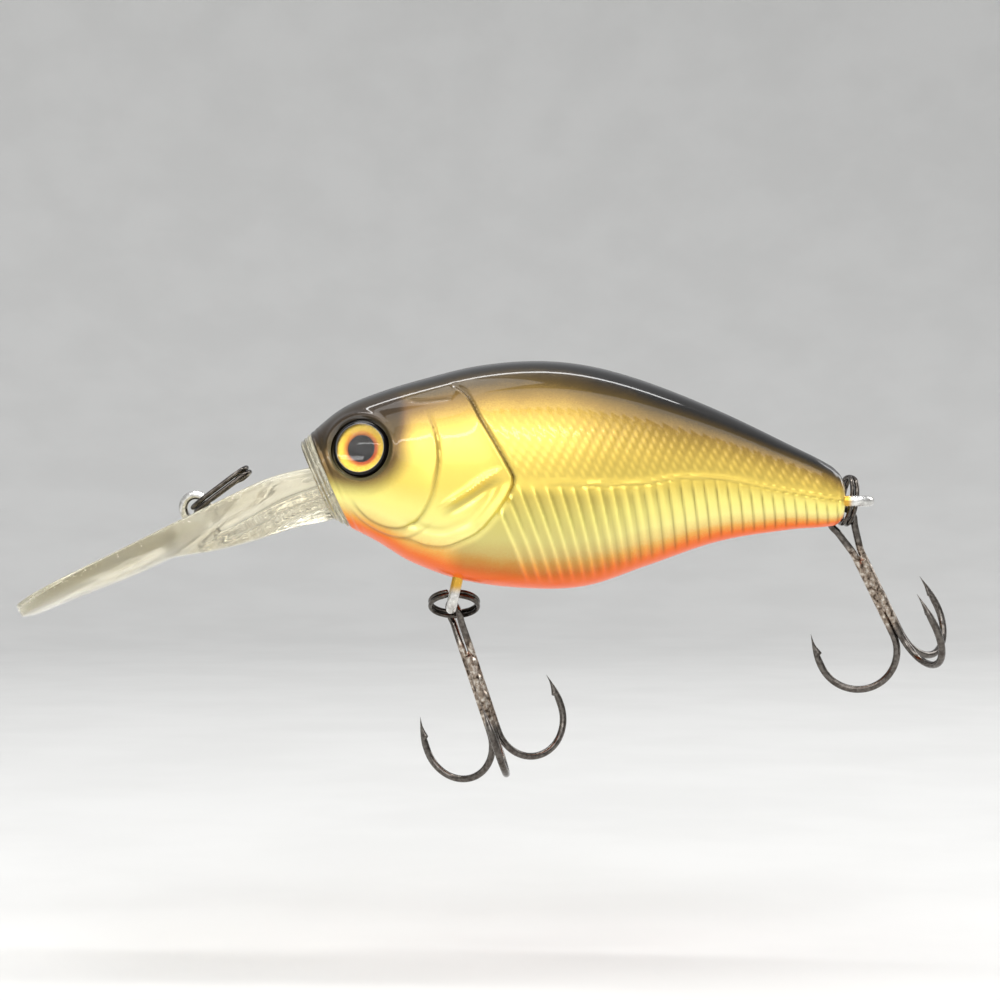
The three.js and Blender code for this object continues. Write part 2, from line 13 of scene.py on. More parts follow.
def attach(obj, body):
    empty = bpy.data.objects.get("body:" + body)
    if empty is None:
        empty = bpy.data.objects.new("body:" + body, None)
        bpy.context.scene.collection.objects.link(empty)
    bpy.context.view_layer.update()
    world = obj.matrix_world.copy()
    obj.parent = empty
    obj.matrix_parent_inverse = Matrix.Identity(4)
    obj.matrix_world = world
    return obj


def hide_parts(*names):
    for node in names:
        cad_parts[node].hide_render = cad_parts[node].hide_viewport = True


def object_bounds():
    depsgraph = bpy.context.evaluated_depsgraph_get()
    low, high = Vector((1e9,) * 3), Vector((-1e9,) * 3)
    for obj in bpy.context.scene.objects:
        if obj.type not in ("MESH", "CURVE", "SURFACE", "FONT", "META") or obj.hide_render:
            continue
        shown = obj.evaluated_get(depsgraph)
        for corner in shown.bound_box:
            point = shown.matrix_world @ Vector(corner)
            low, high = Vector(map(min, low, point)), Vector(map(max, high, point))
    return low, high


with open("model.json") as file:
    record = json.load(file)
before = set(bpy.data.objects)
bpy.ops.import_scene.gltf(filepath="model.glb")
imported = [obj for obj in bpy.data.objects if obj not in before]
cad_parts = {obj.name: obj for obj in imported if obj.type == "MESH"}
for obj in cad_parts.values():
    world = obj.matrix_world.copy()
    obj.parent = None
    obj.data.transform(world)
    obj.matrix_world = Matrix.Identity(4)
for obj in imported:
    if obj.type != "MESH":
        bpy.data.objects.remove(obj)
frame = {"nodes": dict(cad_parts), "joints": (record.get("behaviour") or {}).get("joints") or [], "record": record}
cad_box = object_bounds()

MM = 0.001
AXIS_X, AXIS_Y, AXIS_Z = np.eye(3)

# ---- Driving dimensions, in millimetres ------------------------------------------------------

# Body outlines as (x, value): back line, belly line, half width, and height of the widest line.
BACK = [
    (8.5, 4.6), (11, 6.9), (14.7, 10), (18.5, 11.7), (23.8, 13.3), (29, 14.5), (34.8, 14.95),
    (40, 14.45), (45.8, 12.85), (53.2, 9.9), (60.5, 6.4), (64.6, 4.3), (65.9, 3.1),
]
BELLY = [
    (8.5, 1.6), (14.2, -1.2), (18.3, -3.3), (22, -5.5), (27.5, -7.4), (34.8, -8.2),
    (40, -7.85), (45.8, -5.9), (53.2, -3.4), (60.5, -2.2), (64.9, -1.8), (65.9, -1.2),
]
HALF_WIDTH = [
    (8.5, 2.6), (11, 3.8), (14.7, 5.3), (18.5, 6.4), (24, 7.3), (31, 7.6),
    (38, 7.2), (45.8, 5.9), (53.2, 4.4), (60.5, 3.1), (64.6, 2.5), (65.9, 2.15),
]
WIDEST = [
    (8.5, 3.2), (14.2, 4), (20, 3.6), (28, 2.6), (36, 2.4), (46, 2.9), (56, 2.3), (65.9, 0.9),
]
SECTION_POWER = 2.3
TAIL_X = 65.9
TAIL_ROUNDING = 0.7
SEAM_GAP = 0.04
WALL = 1.3
CAVITY = (18.5, 59.5)
FACE_POINT = (12.5, 2.6)
FACE_LEAN = math.radians(23.5)
COLLAR_DEPTH = 1.3

# The lip's outlines, in its own frame: x towards the body, z out of the top face.
LIP_PITCH = math.radians(26.2)
LIP_EDGE_Z = [(-20.2, -0.8), (-17, -0.5), (-10, -0.35), (7, -0.35), (10.4, -0.8), (16.5, -2.6)]
LIP_HALF_WIDTH = [
    (-20.2, 3), (-19.6, 4.6), (-18, 6.6), (-14.5, 8.1), (-10, 8.4), (-5, 7.8), (1, 6.7), (7, 5.6),
    (11, 4.6), (16.5, 3.4),
]
LIP_CUP = [(-20.2, 0.2), (-18.8, 0.6), (-13.4, 1.3), (-8.4, 1.75), (-2, 1.7), (5, 1.4), (16.5, 0.7)]
LIP_KEEL = [(-20.2, 0), (-5, 0), (-3, 0.5), (0, 1.5), (5, 2.7), (11.4, 3.6), (16.5, 3.2)]
KEEL_HALF_WIDTH = 2.6
LIP_THICKNESS = 1.4

# Wires and rings.
HANGER_WIRE = 1.1
LOOP_RADIUS = 1.4
BELLY_LEGS, TAIL_LEGS, FOOT = 4.6, 4.4, 1.5
BELLY_HOLE = (26.28, 0, -8.88)
BELLY_LEAN = math.radians(12.5)
TAIL_HOLE = (67.1, 0, 0.7)
TIE_WIRE = 0.9
TIE_RADIUS = 1.35
TIE_OPENING = math.radians(42)
TIE_LEG_SPREAD = 0.6
TIE_DEPTH = -3.1
RING_WIRE, RING_RADIUS = 0.46, 2.45
OVAL_WIRE, OVAL_RADIUS, OVAL_STRAIGHT = 0.5, 1.8, 3.2
RING_COIL_GAP = 0.04
RING_START, RING_TURNS = math.radians(104), math.radians(700)

# How the rings and hooks rest.
LINE_RING_RISE = math.radians(37)
BELLY_RING_TIP = math.radians(62)
TAIL_RING_TURN, TAIL_RING_LEAN = math.radians(98), math.radians(8)
BELLY_SWING, BELLY_EYE_TWIST = math.radians(18.5), math.radians(-65)
TAIL_SWING, TAIL_SPIN = math.radians(26), math.radians(17.6)

# Treble hooks: origin in the eye's hole, shank down -Z.
HOOK_WIRE = 0.78
EYE_RADIUS = 1.25
EYE_OPENING = math.radians(38)
EYE_END = 3.6
BEND_RADIUS, BEND_DEPTH = 4.05, 12.85
POINT_DEPTH, POINT_LEAN = 9.3, 0.5
SINGLE_START = 0.9
PACKING = 0.485
BARB_HEIGHT = 0.3
BARB_PLACE, BARB_LENGTH = 2.2, 1.3
BRAZE_TOP, BRAZE_FOOT = -EYE_END - 0.5, 1.6 - BEND_DEPTH
BRAZE_RADIUS, BRAZE_LOBE = 0.6, 0.1

# The fish's eyes; their painted maps give the distance from the middle as a share of EYE_MAP.
EYE_MAP = 3
EYE_PLACE = (17.05, 5.65, 6)
EYE_YAW, EYE_PITCH = math.radians(13), math.radians(9)
EYE_DISC = 2.85
SOCKET_RADIUS, SOCKET_DEPTH = 3.05, 0.95
FOIL_THICKNESS, EYE_GAP = 0.2, 0.04
DOME_RIM, DOME_HEIGHT = 0.25, 1.3
IRIS_RADIUS, PUPIL_RADIUS, PUPIL_RING = 2.42, 1.33, 1.6

# Lines of the relief on the flanks, as (x, z) in side view, from the top or the front.
CHEEK_LINE = [
    (23.4, 10.2), (24.5, 7.3), (24.8, 5), (24.6, 3.1), (24.1, 1.2), (23, -0.8), (21.6, -1.75),
    (20, -1.85), (18.3, -1.2), (16.9, 0), (16, 1.4),
]
THROAT_LINE = [(24.6, -0.9), (23.1, -2.2), (21.2, -2.85), (19.2, -2.4), (17.1, -1.1), (15.6, 0.6)]
GILL_EDGE = [
    (26, 12.4), (27.6, 11.2), (29, 8.7), (30.3, 6.5), (31.5, 4.4), (32.2, 2.9), (31.9, 1.7), (30.7, -0.2),
    (28.9, -2.2), (27.3, -3.1), (25.6, -3.7), (23.7, -3.6), (22, -3), (20.4, -2.8),
]
GILL_RIDGE = [(31.6, 4), (29.4, 2.8), (27.8, 1.7), (25.2, 0.1), (24.4, -0.6)]
GILL_TOP = [(21.6, 10.75), (23.4, 10.65), (26.4, 10.95)]
LATERAL_LINE = [
    (32, 2.5), (37.1, 2.5), (44.8, 2.6), (48.7, 3.2), (53.2, 3.1), (58.1, 2.2), (63, 1.35), (66, 1),
]

# Heights, depths, widths and offsets of the relief.
LOW_FACE_TOP = 6
CHEEK_RISE, CHEEK_LOW_RISE, CHEEK_REACH, CHEEK_LOW_REACH, CHEEK_GROOVE = 0.14, 0.2, 0.9, 1.3, 0.1
THROAT_RISE, THROAT_REACH, THROAT_GROOVE = 0.18, 0.5, 0.08
GILL_RISE, GILL_LOW_RISE, GILL_REACH, GILL_GROOVE = 0.2, 0.25, 0.7, 0.14
FOLD_DEPTH, FOLD_OFFSET, FOLD_WIDTH = 0.28, 1.4, 0.45
RIDGE_HEIGHT, RIDGE_WIDTH = 0.42, 0.28
DIP_DEPTH, DIP_OFFSET, DIP_WIDTH = 0.26, 0.85, 0.5
TOP_DEPTH, TOP_WIDTH = 0.12, 0.16
LATERAL_HEIGHT, LATERAL_WIDTH = 0.08, 0.16
LATERAL_DEPTH, LATERAL_OFFSET, LATERAL_CUT_WIDTH = 0.07, 0.32, 0.14
STITCH_PITCH, STITCH_DEPTH = 0.95, 0.6
NECK_RING_HEIGHT, NECK_RING_PITCH = 0.06, 0.62
EYE_RIM_HEIGHT, EYE_RIM_OFFSET, EYE_RIM_WIDTH = 0.12, 0.35, 0.3
TAIL_SHAVE = 0.08
RIB_START, RIB_PITCH, RIB_TAIL_PITCH = 29, 1.45, 1.07
RIB_LEAN, RIB_TAIL_LEAN = math.radians(24), math.radians(8)
RIB_HEIGHT, RIB_DROP, RIB_WIDTH, RIB_CUT, RIB_CUT_WIDTH = 0.24, 0.06, 0.2, 0.12, 0.1
SCALE_LENGTH, SCALE_HEIGHT, SCALE_LEAN, SCALE_RISE = 1.05, 1.35, 0.36, 0.035

# Mesh fineness: sides round a shape, and points along it.
SKIN_COLUMNS, SKIN_ROWS, INNER_ROWS = 372, 206, 20
LIP_COLUMNS, LIP_SIDES = 260, 200
COLLAR_COLUMNS, COLLAR_SIDES = 22, 160
WIRE_SIDES, RING_SIDES, HOOK_SIDES = 24, 20, 18
WIRE_STEP, RING_STEP = 0.12, 0.1
EYE_SIDES, SOCKET_SIDES = 96, 120

# ---- Numbers and shapes ----------------------------------------------------------------------


def smooth_step(value, low, high):
    share = np.clip((value - low) / (high - low), 0, 1)
    return share * share * (3 - 2 * share)


def bell(value, width):
    return np.exp(-((value / width) ** 2))


def profile(points):
    """A smooth function through (x, value) points."""
    x, v = np.array(points, float).T
    before, after = np.maximum(np.arange(len(x)) - 1, 0), np.minimum(np.arange(len(x)) + 1, len(x) - 1)
    slope = (v[after] - v[before]) / (x[after] - x[before])

    def at(where):
        i = np.clip(np.searchsorted(x, where) - 1, 0, len(x) - 2)
        span = x[i + 1] - x[i]
        t = np.clip((where - x[i]) / span, 0, 1)
        ease = t * t * (3 - 2 * t)
        bend = span * t * (1 - t) * ((1 - t) * slope[i] - t * slope[i + 1])
        return v[i] + (v[i + 1] - v[i]) * ease + bend

    return at


back_at, belly_at = profile(BACK), profile(BELLY)
half_width_at, widest_at = profile(HALF_WIDTH), profile(WIDEST)
lateral_at = profile(LATERAL_LINE)


def superellipse(v):
    return np.sign(v) * np.abs(v) ** (2 / SECTION_POWER)


def body_point(x, turn, inset=0.0):
    """y on the right flank and z of the body's skin; turn runs from 0 at the back to pi at the belly."""
    middle = widest_at(x)
    height = np.where(np.cos(turn) > 0, back_at(x) - inset - middle, middle - belly_at(x) - inset)
    y = (half_width_at(x) - inset) * superellipse(np.sin(turn))
    return y, middle + height * superellipse(np.cos(turn))


def behind_face(x, z):
    """How far a point lies behind the mouth's flat face."""
    return (x - FACE_POINT[0]) * math.cos(FACE_LEAN) + (z - FACE_POINT[1]) * math.sin(FACE_LEAN)


def face_x(depth, turn):
    """x where the body's skin crosses the plane that lies depth behind the mouth's face."""
    x = np.full(np.shape(turn), FACE_POINT[0])
    for _ in range(25):
        z = body_point(x, turn)[1]
        wanted = FACE_POINT[0] + (depth - (z - FACE_POINT[1]) * math.sin(FACE_LEAN)) / math.cos(FACE_LEAN)
        x = (x + wanted) / 2
    return x


def spline(points, steps=14):
    """A smooth line through points."""
    p = np.array(points, float)
    p = np.vstack([2 * p[0] - p[1], p, 2 * p[-1] - p[-2]])
    t = np.linspace(0, 1, steps, endpoint=False)[:, None]
    runs = []
    for a, b, c, d in zip(p, p[1:], p[2:], p[3:]):
        square = a - 2.5 * b + 2 * c - d / 2
        cube = 1.5 * (b - c) + (d - a) / 2
        runs.append(b + t * (c - a) / 2 + t**2 * square + t**3 * cube)
    return np.vstack([*runs, p[-2:-1]])


def run_of(points):
    """How far along the path each point is."""
    return np.concatenate([[0], np.cumsum(np.linalg.norm(np.diff(points, axis=0), axis=1))])


def from_line(x, z, points, fade=0.12):
    """Signed distance to a side-view line, above or ahead of it positive, and 1 fading to 0 at its ends."""
    line = spline(points)
    best = np.full(x.shape, 1e9)
    signed = np.zeros(x.shape)
    share = np.zeros(x.shape)
    lengths = run_of(line)
    for (ax, az), (bx, bz), start, end in zip(line, line[1:], lengths, lengths[1:]):
        dx, dz = bx - ax, bz - az
        t = np.clip(((x - ax) * dx + (z - az) * dz) / (dx * dx + dz * dz), 0, 1)
        distance = np.hypot(x - ax - t * dx, z - az - t * dz)
        side = np.where(dx * (z - az) - dz * (x - ax) >= 0, -1, 1)
        nearer = distance < best
        best = np.where(nearer, distance, best)
        signed = np.where(nearer, distance * side, signed)
        share = np.where(nearer, (start + t * (end - start)) / lengths[-1], share)
    ends = smooth_step(share, 0, fade) * smooth_step(1 - share, 0, fade)
    return signed, ends


def grid_faces(columns, rows):
    """Quads between neighbouring rings of points."""
    start = np.arange(columns - 1)[:, None] * rows
    row = np.arange(rows)[None, :]
    after = (row + 1) % rows
    quads = np.stack([start + row, start + after, start + rows + after, start + rows + row], -1)
    return quads.reshape(-1, 4).tolist()


def closed_rings(rings):
    """Points and faces of a skin through rings of points, closed by a face at each end."""
    count, sides = rings.shape[:2]
    faces = grid_faces(count, sides)
    faces.append(list(range(sides)))
    faces.append(list(range((count - 1) * sides, count * sides))[::-1])
    return rings.reshape(-1, 3), faces


def mesh_from(name, points, faces):
    mesh = bpy.data.meshes.new(name)
    mesh.from_pydata((np.asarray(points) * MM).tolist(), [], faces)
    work = bmesh.new()
    work.from_mesh(mesh)
    bmesh.ops.recalc_face_normals(work, faces=work.faces)
    work.to_mesh(mesh)
    work.free()
    return mesh


def joined(*parts):
    """Several closed skins as one list of points and one of faces."""
    points, faces = [], []
    for part_points, part_faces in parts:
        start = sum(len(p) for p in points)
        points.append(part_points)
        faces.extend([start + i for i in face] for face in part_faces)
    return np.vstack(points), faces


def make_piece(node, mesh, material, sharp=40):
    """Shows a mesh in place of a CAD node, on the same body, in the given material."""
    mesh.materials.append(material)
    mesh.shade_smooth()
    mesh.set_sharp_from_angle(angle=math.radians(sharp))
    piece = bpy.data.objects.new(f"{node}_detailed", mesh)
    bpy.context.scene.collection.objects.link(piece)
    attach(piece, BODY_OF[node])
    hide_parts(node)


def points_of(mesh):
    """A mesh's points, in millimetres."""
    flat = np.empty(len(mesh.vertices) * 3)
    mesh.vertices.foreach_get("co", flat)
    return flat.reshape(-1, 3) / MM


def paint_map(mesh, name, values):
    layer = mesh.attributes.new(name, "FLOAT", "POINT")
    layer.data.foreach_set("value", np.asarray(values, np.float32))


def boolean(mesh, other, operation):
    """The mesh cut by or joined to another."""
    base, tool = (bpy.data.objects.new(m.name, m) for m in (mesh, other))
    for thing in (base, tool):
        bpy.context.scene.collection.objects.link(thing)
    step = base.modifiers.new("cut", "BOOLEAN")
    step.operation, step.solver, step.object = operation, "EXACT", tool
    shaped = bpy.data.meshes.new_from_object(base.evaluated_get(bpy.context.evaluated_depsgraph_get()))
    for thing in (base, tool):
        bpy.data.objects.remove(thing)
    return shaped


BODY_OF = {node: body for body, nodes in frame["record"]["behaviour"]["bodies"].items() for node in nodes}
JOINTS = {joint["name"]: joint for joint in frame["joints"]}

# ---- Materials -------------------------------------------------------------------------------

BLACK_PAINT = (0.006, 0.005, 0.004)
EYE_INK = (0.006, 0.005, 0.005)


class Surface:
    """A material with one Principled shader, and short ways to add the nodes that drive it."""

    def __init__(self, name, **values):
        self.material = bpy.data.materials.new(name)
        self.material.use_nodes = True
        self.nodes = self.material.node_tree.nodes
        self.links = self.material.node_tree.links
        self.shader = self.nodes["Principled BSDF"]
        for socket, value in values.items():
            self.shader.inputs[socket.replace("_", " ")].default_value = value

    def drive(self, socket, output):
        self.links.new(output, self.shader.inputs[socket])

    def node(self, kind, inputs=(), **settings):
        made = self.nodes.new(kind)
        for key, value in settings.items():
            setattr(made, key, value)
        for key, value in dict(inputs).items():
            if isinstance(value, bpy.types.NodeSocket):
                self.links.new(value, made.inputs[key])
            else:
                made.inputs[key].default_value = value
        return made

    def attribute(self, name):
        return self.node("ShaderNodeAttribute", attribute_name=name).outputs["Fac"]

    def place(self, scale):
        """Object coordinates, stretched."""
        where = self.node("ShaderNodeTexCoord").outputs["Object"]
        return self.node("ShaderNodeMapping", {"Vector": where, "Scale": scale}).outputs["Vector"]

    def noise(self, size, detail, roughness=0.5, stretch=(1, 1, 1)):
        """Noise from 0 to 1 with features of about that size, in millimetres."""
        made = self.node("ShaderNodeTexNoise", {
            "Vector": self.place(stretch), "Scale": 1 / (size * MM),
            "Detail": detail, "Roughness": roughness,
        })
        return made.outputs["Fac"]

    def ramp(self, value, stops, ease="EASE"):
        made = self.node("ShaderNodeValToRGB", {"Fac": value})
        made.color_ramp.interpolation = ease
        ramp = made.color_ramp.elements
        while len(ramp) < len(stops):
            ramp.new(0.5)
        for element, (place, colour) in zip(ramp, stops):
            element.position = place
            element.color = (*colour, 1) if isinstance(colour, tuple) else (colour, colour, colour, 1)
        return made.outputs["Color"]

    def math(self, operation, a, b):
        return self.node("ShaderNodeMath", {0: a, 1: b}, operation=operation).outputs[0]

    def spread(self, value, low, high):
        """Maps 0 to 1 onto low to high."""
        return self.node("ShaderNodeMapRange", {"Value": value, "To Min": low, "To Max": high}).outputs[0]

    def mix(self, share, a, b, blend="MIX"):
        made = self.node("ShaderNodeMix", data_type="RGBA", blend_type=blend)
        colours = [s for s in made.inputs if s.type == "RGBA"]
        for socket, value in zip([made.inputs["Factor"], *colours], (share, a, b)):
            if isinstance(value, bpy.types.NodeSocket):
                self.links.new(value, socket)
            else:
                socket.default_value = value if isinstance(value, float) else (*value, 1)
        return next(s for s in made.outputs if s.type == "RGBA")

    def bump(self, height, depth, strength):
        """Bumps of that depth in millimetres, added to those already there."""
        before = self.shader.inputs["Normal"].links
        inputs = {"Height": height, "Distance": depth * MM, "Strength": strength}
        if before:
            inputs["Normal"] = before[0].from_socket
        self.drive("Normal", self.node("ShaderNodeBump", inputs).outputs["Normal"])


def paint():
    """Gold foil under clear lacquer, airbrushed black along the back, smoky on the head, orange below, and a pale
    band low on the flank that is partly a painted highlight.
    """
    made = Surface("gold_paint", Specular_IOR_Level=0.1, Coat_Roughness=0.035, Coat_IOR=1.42)
    speckle = made.noise(0.09, 2)
    cloud = made.noise(3.5, 3)
    flank = made.math("ADD", made.attribute("flank"), made.spread(speckle, -0.035, 0.035))
    flank = made.math("ADD", flank, made.spread(cloud, -0.02, 0.02))
    # Real two-tone paint from the orange belly through gold to the black back; the pale, bright band at 0.21 to
    # 0.31 is partly a painted highlight.
    colour = made.ramp(flank, [
        (0.0, (0.9, 0.12, 0.012)), (0.06, (0.9, 0.18, 0.02)), (0.11, (0.86, 0.42, 0.09)),
        (0.15, (0.86, 0.65, 0.22)), (0.21, (0.95, 0.85, 0.29)), (0.31, (0.97, 0.86, 0.24)),
        (0.43, (0.93, 0.71, 0.14)), (0.64, (0.88, 0.62, 0.12)), (0.75, (0.62, 0.41, 0.08)),
        (0.83, (0.27, 0.165, 0.035)), (0.9, (0.075, 0.045, 0.008)), (0.975, BLACK_PAINT),
    ], "LINEAR")
    smoke = made.math("ADD", made.attribute("smoke"), made.spread(speckle, -0.07, 0.07))
    shadow = made.ramp(smoke, [(0.5, (0.13, 0.07, 0.03)), (0.8, (0.03, 0.018, 0.01)), (0.97, BLACK_PAINT)])
    colour = made.mix(made.ramp(smoke, [(0.04, 0.0), (0.6, 0.94)], "LINEAR"), colour, shadow, "DARKEN")
    # Painted shade: darker in the grooves, rib valleys and gaps between the scales.
    colour = made.mix(made.attribute("groove"), colour, (0.09, 0.055, 0.012), "DARKEN")
    chips = made.ramp(made.noise(0.5, 4), [(0.58, 0.0), (0.68, 1.0)])
    wear = made.math("MULTIPLY", made.attribute("edge"), chips)
    made.drive("Base Color", made.mix(wear, colour, (0.8, 0.72, 0.5)))
    plain = made.attribute("flank")
    made.drive("Metallic", made.ramp(plain, [(0.04, 0.05), (0.3, 0.88), (0.75, 0.88), (0.9, 0.3)]))
    made.drive("Coat Weight", made.ramp(plain, [(0.05, 0.25), (0.3, 0.6), (0.8, 0.75)]))
    made.drive("Roughness", made.spread(made.noise(0.35, 3), 0.26, 0.4))
    made.bump(speckle, 0.004, 0.6)
    made.bump(cloud, 0.05, 0.25)
    return made.material


def clear_plastic():
    """Clear moulded polycarbonate, slightly cream, with faint flow marks and scuffs at its edge."""
    made = Surface("clear_polycarbonate", IOR=1.5, Transmission_Weight=0.86)
    flow = made.noise(2.2, 2, 0.4, (0.35, 1, 1))
    scuff = made.ramp(made.noise(0.25, 5, 0.7), [(0.55, 0.0), (0.7, 1.0)])
    edge = made.math("MULTIPLY", made.attribute("edge"), scuff)
    tint = made.ramp(flow, [(0.3, (0.96, 0.92, 0.75)), (0.7, (0.9, 0.83, 0.61))])
    made.drive("Base Color", made.mix(edge, tint, (0.95, 0.94, 0.88)))
    scuffed = made.math("MULTIPLY", edge, 0.4)
    made.drive("Roughness", made.math("ADD", made.spread(flow, 0.03, 0.1), scuffed))
    made.bump(flow, 0.25, 0.35)
    made.bump(made.noise(0.12, 4), 0.003, 0.5)
    return made.material


def dome_resin():
    """Clear domed resin over the eye, inked black round its rim."""
    made = Surface("clear_resin", IOR=1.33)
    soft = made.noise(1.6, 2)
    rim = IRIS_RADIUS / EYE_MAP
    inked = made.ramp(made.attribute("radius"), [(rim, 0.0), (rim + 0.02, 1.0)], "LINEAR")
    resin = made.ramp(soft, [(0.3, (1.0, 1.0, 1.0)), (0.7, (0.98, 0.97, 0.93))])
    made.drive("Base Color", made.mix(inked, resin, EYE_INK))
    made.drive("Transmission Weight", made.ramp(inked, [(0.0, 1.0), (1.0, 0.0)], "LINEAR"))
    made.drive("Roughness", made.spread(made.noise(0.3, 3), 0.0, 0.03))
    made.bump(soft, 0.02, 0.3)
    return made.material


def eye_foil():
    """Printed foil: black pupil, orange inner ring, gold iris with fine rays and a black rim."""
    made = Surface("eye_foil", Specular_IOR_Level=0.1)
    radius = made.attribute("radius")
    grain = made.noise(0.16, 3)
    pupil, ring, rim = (r / EYE_MAP for r in (PUPIL_RADIUS, PUPIL_RING, IRIS_RADIUS))
    iris = made.ramp(made.math("ADD", radius, made.spread(grain, -0.06, 0.06)), [
        (pupil, (0.4, 0.1, 0.02)), (ring, (0.72, 0.3, 0.04)),
        (0.6, (0.88, 0.57, 0.06)), (0.72, (0.92, 0.66, 0.08)), (0.81, (0.35, 0.2, 0.03)),
    ])
    warm = made.math("MULTIPLY", made.attribute("low_side"), made.ramp(radius, [(0.48, 1.0), (0.57, 0.0)]))
    iris = made.mix(warm, iris, (0.5, 0.07, 0.01))
    mottle = made.ramp(made.noise(0.3, 4), [(0.35, (0.72, 0.66, 0.5)), (0.65, (1.0, 1.0, 1.0))])
    iris = made.mix(0.5, iris, mottle, "MULTIPLY")
    dark = made.ramp(radius, [(pupil - 0.012, 1.0), (pupil, 0.0), (rim, 0.0), (rim + 0.012, 1.0)], "LINEAR")
    made.drive("Base Color", made.mix(dark, iris, EYE_INK))
    made.drive("Metallic", made.ramp(dark, [(0.0, 0.75), (1.0, 0.0)]))
    made.drive("Roughness", made.spread(grain, 0.28, 0.5))
    made.bump(grain, 0.01, 0.4)
    return made.material


def metal(name, dark, light, rough, grain=0.4, painted=None):
    """Plated wire with drawn streaks and small dull spots; painted colours the part nearest the body."""
    made = Surface(name, Metallic=1.0)
    streak = made.noise(grain, 4, 0.6)
    fine = made.noise(0.07, 3)
    colour = made.ramp(streak, [(0.32, dark), (0.68, light)])
    if painted:
        colour = made.mix(made.attribute("painted"), colour, painted)
    made.drive("Base Color", colour)
    made.drive("Roughness", made.spread(streak, rough - 0.07, rough + 0.12))
    made.bump(fine, 0.003, 0.4)
    return made


def hook_metal():
    """Black nickel with a mottled, brighter brazed shank."""
    made = metal("black_nickel_hook", (0.07, 0.06, 0.053), (0.17, 0.155, 0.14), 0.13)
    braze = made.attribute("braze")
    blotch = made.ramp(made.noise(0.55, 5, 0.65), [
        (0.36, (0.05, 0.035, 0.025)), (0.5, (0.3, 0.24, 0.19)), (0.64, (0.62, 0.57, 0.5)),
    ])
    plain = made.shader.inputs["Base Color"].links[0].from_socket
    made.drive("Base Color", made.mix(braze, plain, blotch))
    rough = made.shader.inputs["Roughness"].links[0].from_socket
    made.drive("Roughness", made.math("ADD", rough, made.math("MULTIPLY", braze, 0.16)))
    made.bump(made.noise(0.3, 4), 0.015, 0.5)
    return made.material


def floor_cloth():
    made = Surface("pale_floor", Roughness=0.9)
    tone = made.noise(30, 3)
    made.drive("Base Color", made.ramp(tone, [(0.3, (0.64, 0.635, 0.62)), (0.7, (0.67, 0.665, 0.65))]))
    return made.material


PAINT, CLEAR, RESIN, FOIL = paint(), clear_plastic(), dome_resin(), eye_foil()
BRIGHT_WIRE = metal(
    "bright_steel_wire", (0.5, 0.49, 0.47), (0.78, 0.77, 0.74), 0.22, painted=(0.7, 0.4, 0.06),
).material
RING_METAL = metal("black_nickel_ring", (0.045, 0.038, 0.033), (0.13, 0.115, 0.1), 0.14).material
HOOK_METAL = hook_metal()
BALL_METAL = metal("ball_steel", (0.45, 0.45, 0.45), (0.6, 0.6, 0.61), 0.16).material
BRASS = metal("weight_brass", (0.42, 0.27, 0.09), (0.62, 0.44, 0.17), 0.35, 1.2).material

# ---- Painted shells --------------------------------------------------------------------------


def eye_matrix(side):
    """The frame of one eye, +Z looking out of it: side 1 right, -1 left."""
    out = Vector((
        -math.sin(EYE_YAW) * math.cos(EYE_PITCH),
        side * math.cos(EYE_YAW) * math.cos(EYE_PITCH),
        math.sin(EYE_PITCH),
    ))
    place = Vector((EYE_PLACE[0], side * EYE_PLACE[1], EYE_PLACE[2]))
    turn = Vector((0, 0, 1)).rotation_difference(out).to_matrix().to_4x4()
    return Matrix.Translation(place) @ turn


def girth_share(x, z):
    """0 on the belly line and 1 on the back line."""
    return (z - belly_at(x)) / (back_at(x) - belly_at(x))


def ribs(x, z, gill):
    """Ribs below the lateral line and their cuts: round ridges in front, flat towards the tail; also painted shade
    in the cuts and between the ridges.
    """
    below = lateral_at(x) - z
    lean = RIB_TAIL_LEAN + (RIB_LEAN - RIB_TAIL_LEAN) * (1 - smooth_step(x, 30, 48))
    along = np.clip(x - below * np.tan(lean) - RIB_START, 0, None)
    growth = (1 / RIB_TAIL_PITCH - 1 / RIB_PITCH) / (2 * (TAIL_X - RIB_START))
    share = (along / RIB_PITCH + growth * along**2) % 1
    to_tail = smooth_step(x, 38, 52)
    cut = bell(share, RIB_CUT_WIDTH) + bell(1 - share, RIB_CUT_WIDTH)
    ridge = bell(share - 0.5, RIB_WIDTH)
    outside = smooth_step(np.where(x > 32, 1, -gill), 0.15, 0.9) * smooth_step(x, 25, 27.5)
    strength = smooth_step(below, 0.1, 1.5) * smooth_step(girth_share(x, z), 0.02, 0.08) * outside
    height = (RIB_HEIGHT * ridge - RIB_DROP) * (1 - to_tail) - RIB_CUT * cut * to_tail
    # Painted shade: dark in the cuts towards the tail and in the valleys between the ridges in front.
    shade = cut * to_tail * 0.5 + (1 - ridge) * (1 - to_tail) * 0.38
    return height * strength, shade * strength


def scales(x, z, gill):
    """Small embossed scales in staggered rows above the lateral line, fading into the dark back, with painted
    shade between them.
    """
    u = (x + SCALE_LEAN * z) / SCALE_LENGTH
    w = (z - lateral_at(x)) / SCALE_HEIGHT + 0.1 * u
    bump = 0
    for shift in (0, 0.5):
        bump = bump + bell((u + shift) % 1 - 0.5, 0.2) * bell((w + shift) % 1 - 0.5, 0.3)
    above = smooth_step(z - lateral_at(x), 0.1, 0.8) * (1 - smooth_step(girth_share(x, z), 0.7, 0.86))
    outside = np.where(x > 32.2, 1, smooth_step(-gill, 0.2, 1)) * smooth_step(x, 26.5, 27.5)
    strength = above * outside * (0.85 + 0.15 * smooth_step(x, 34, 42))
    # The second value is painted shade, darker between the scales.
    return SCALE_RISE * bump * strength, 0.26 * (1 - bump) * strength


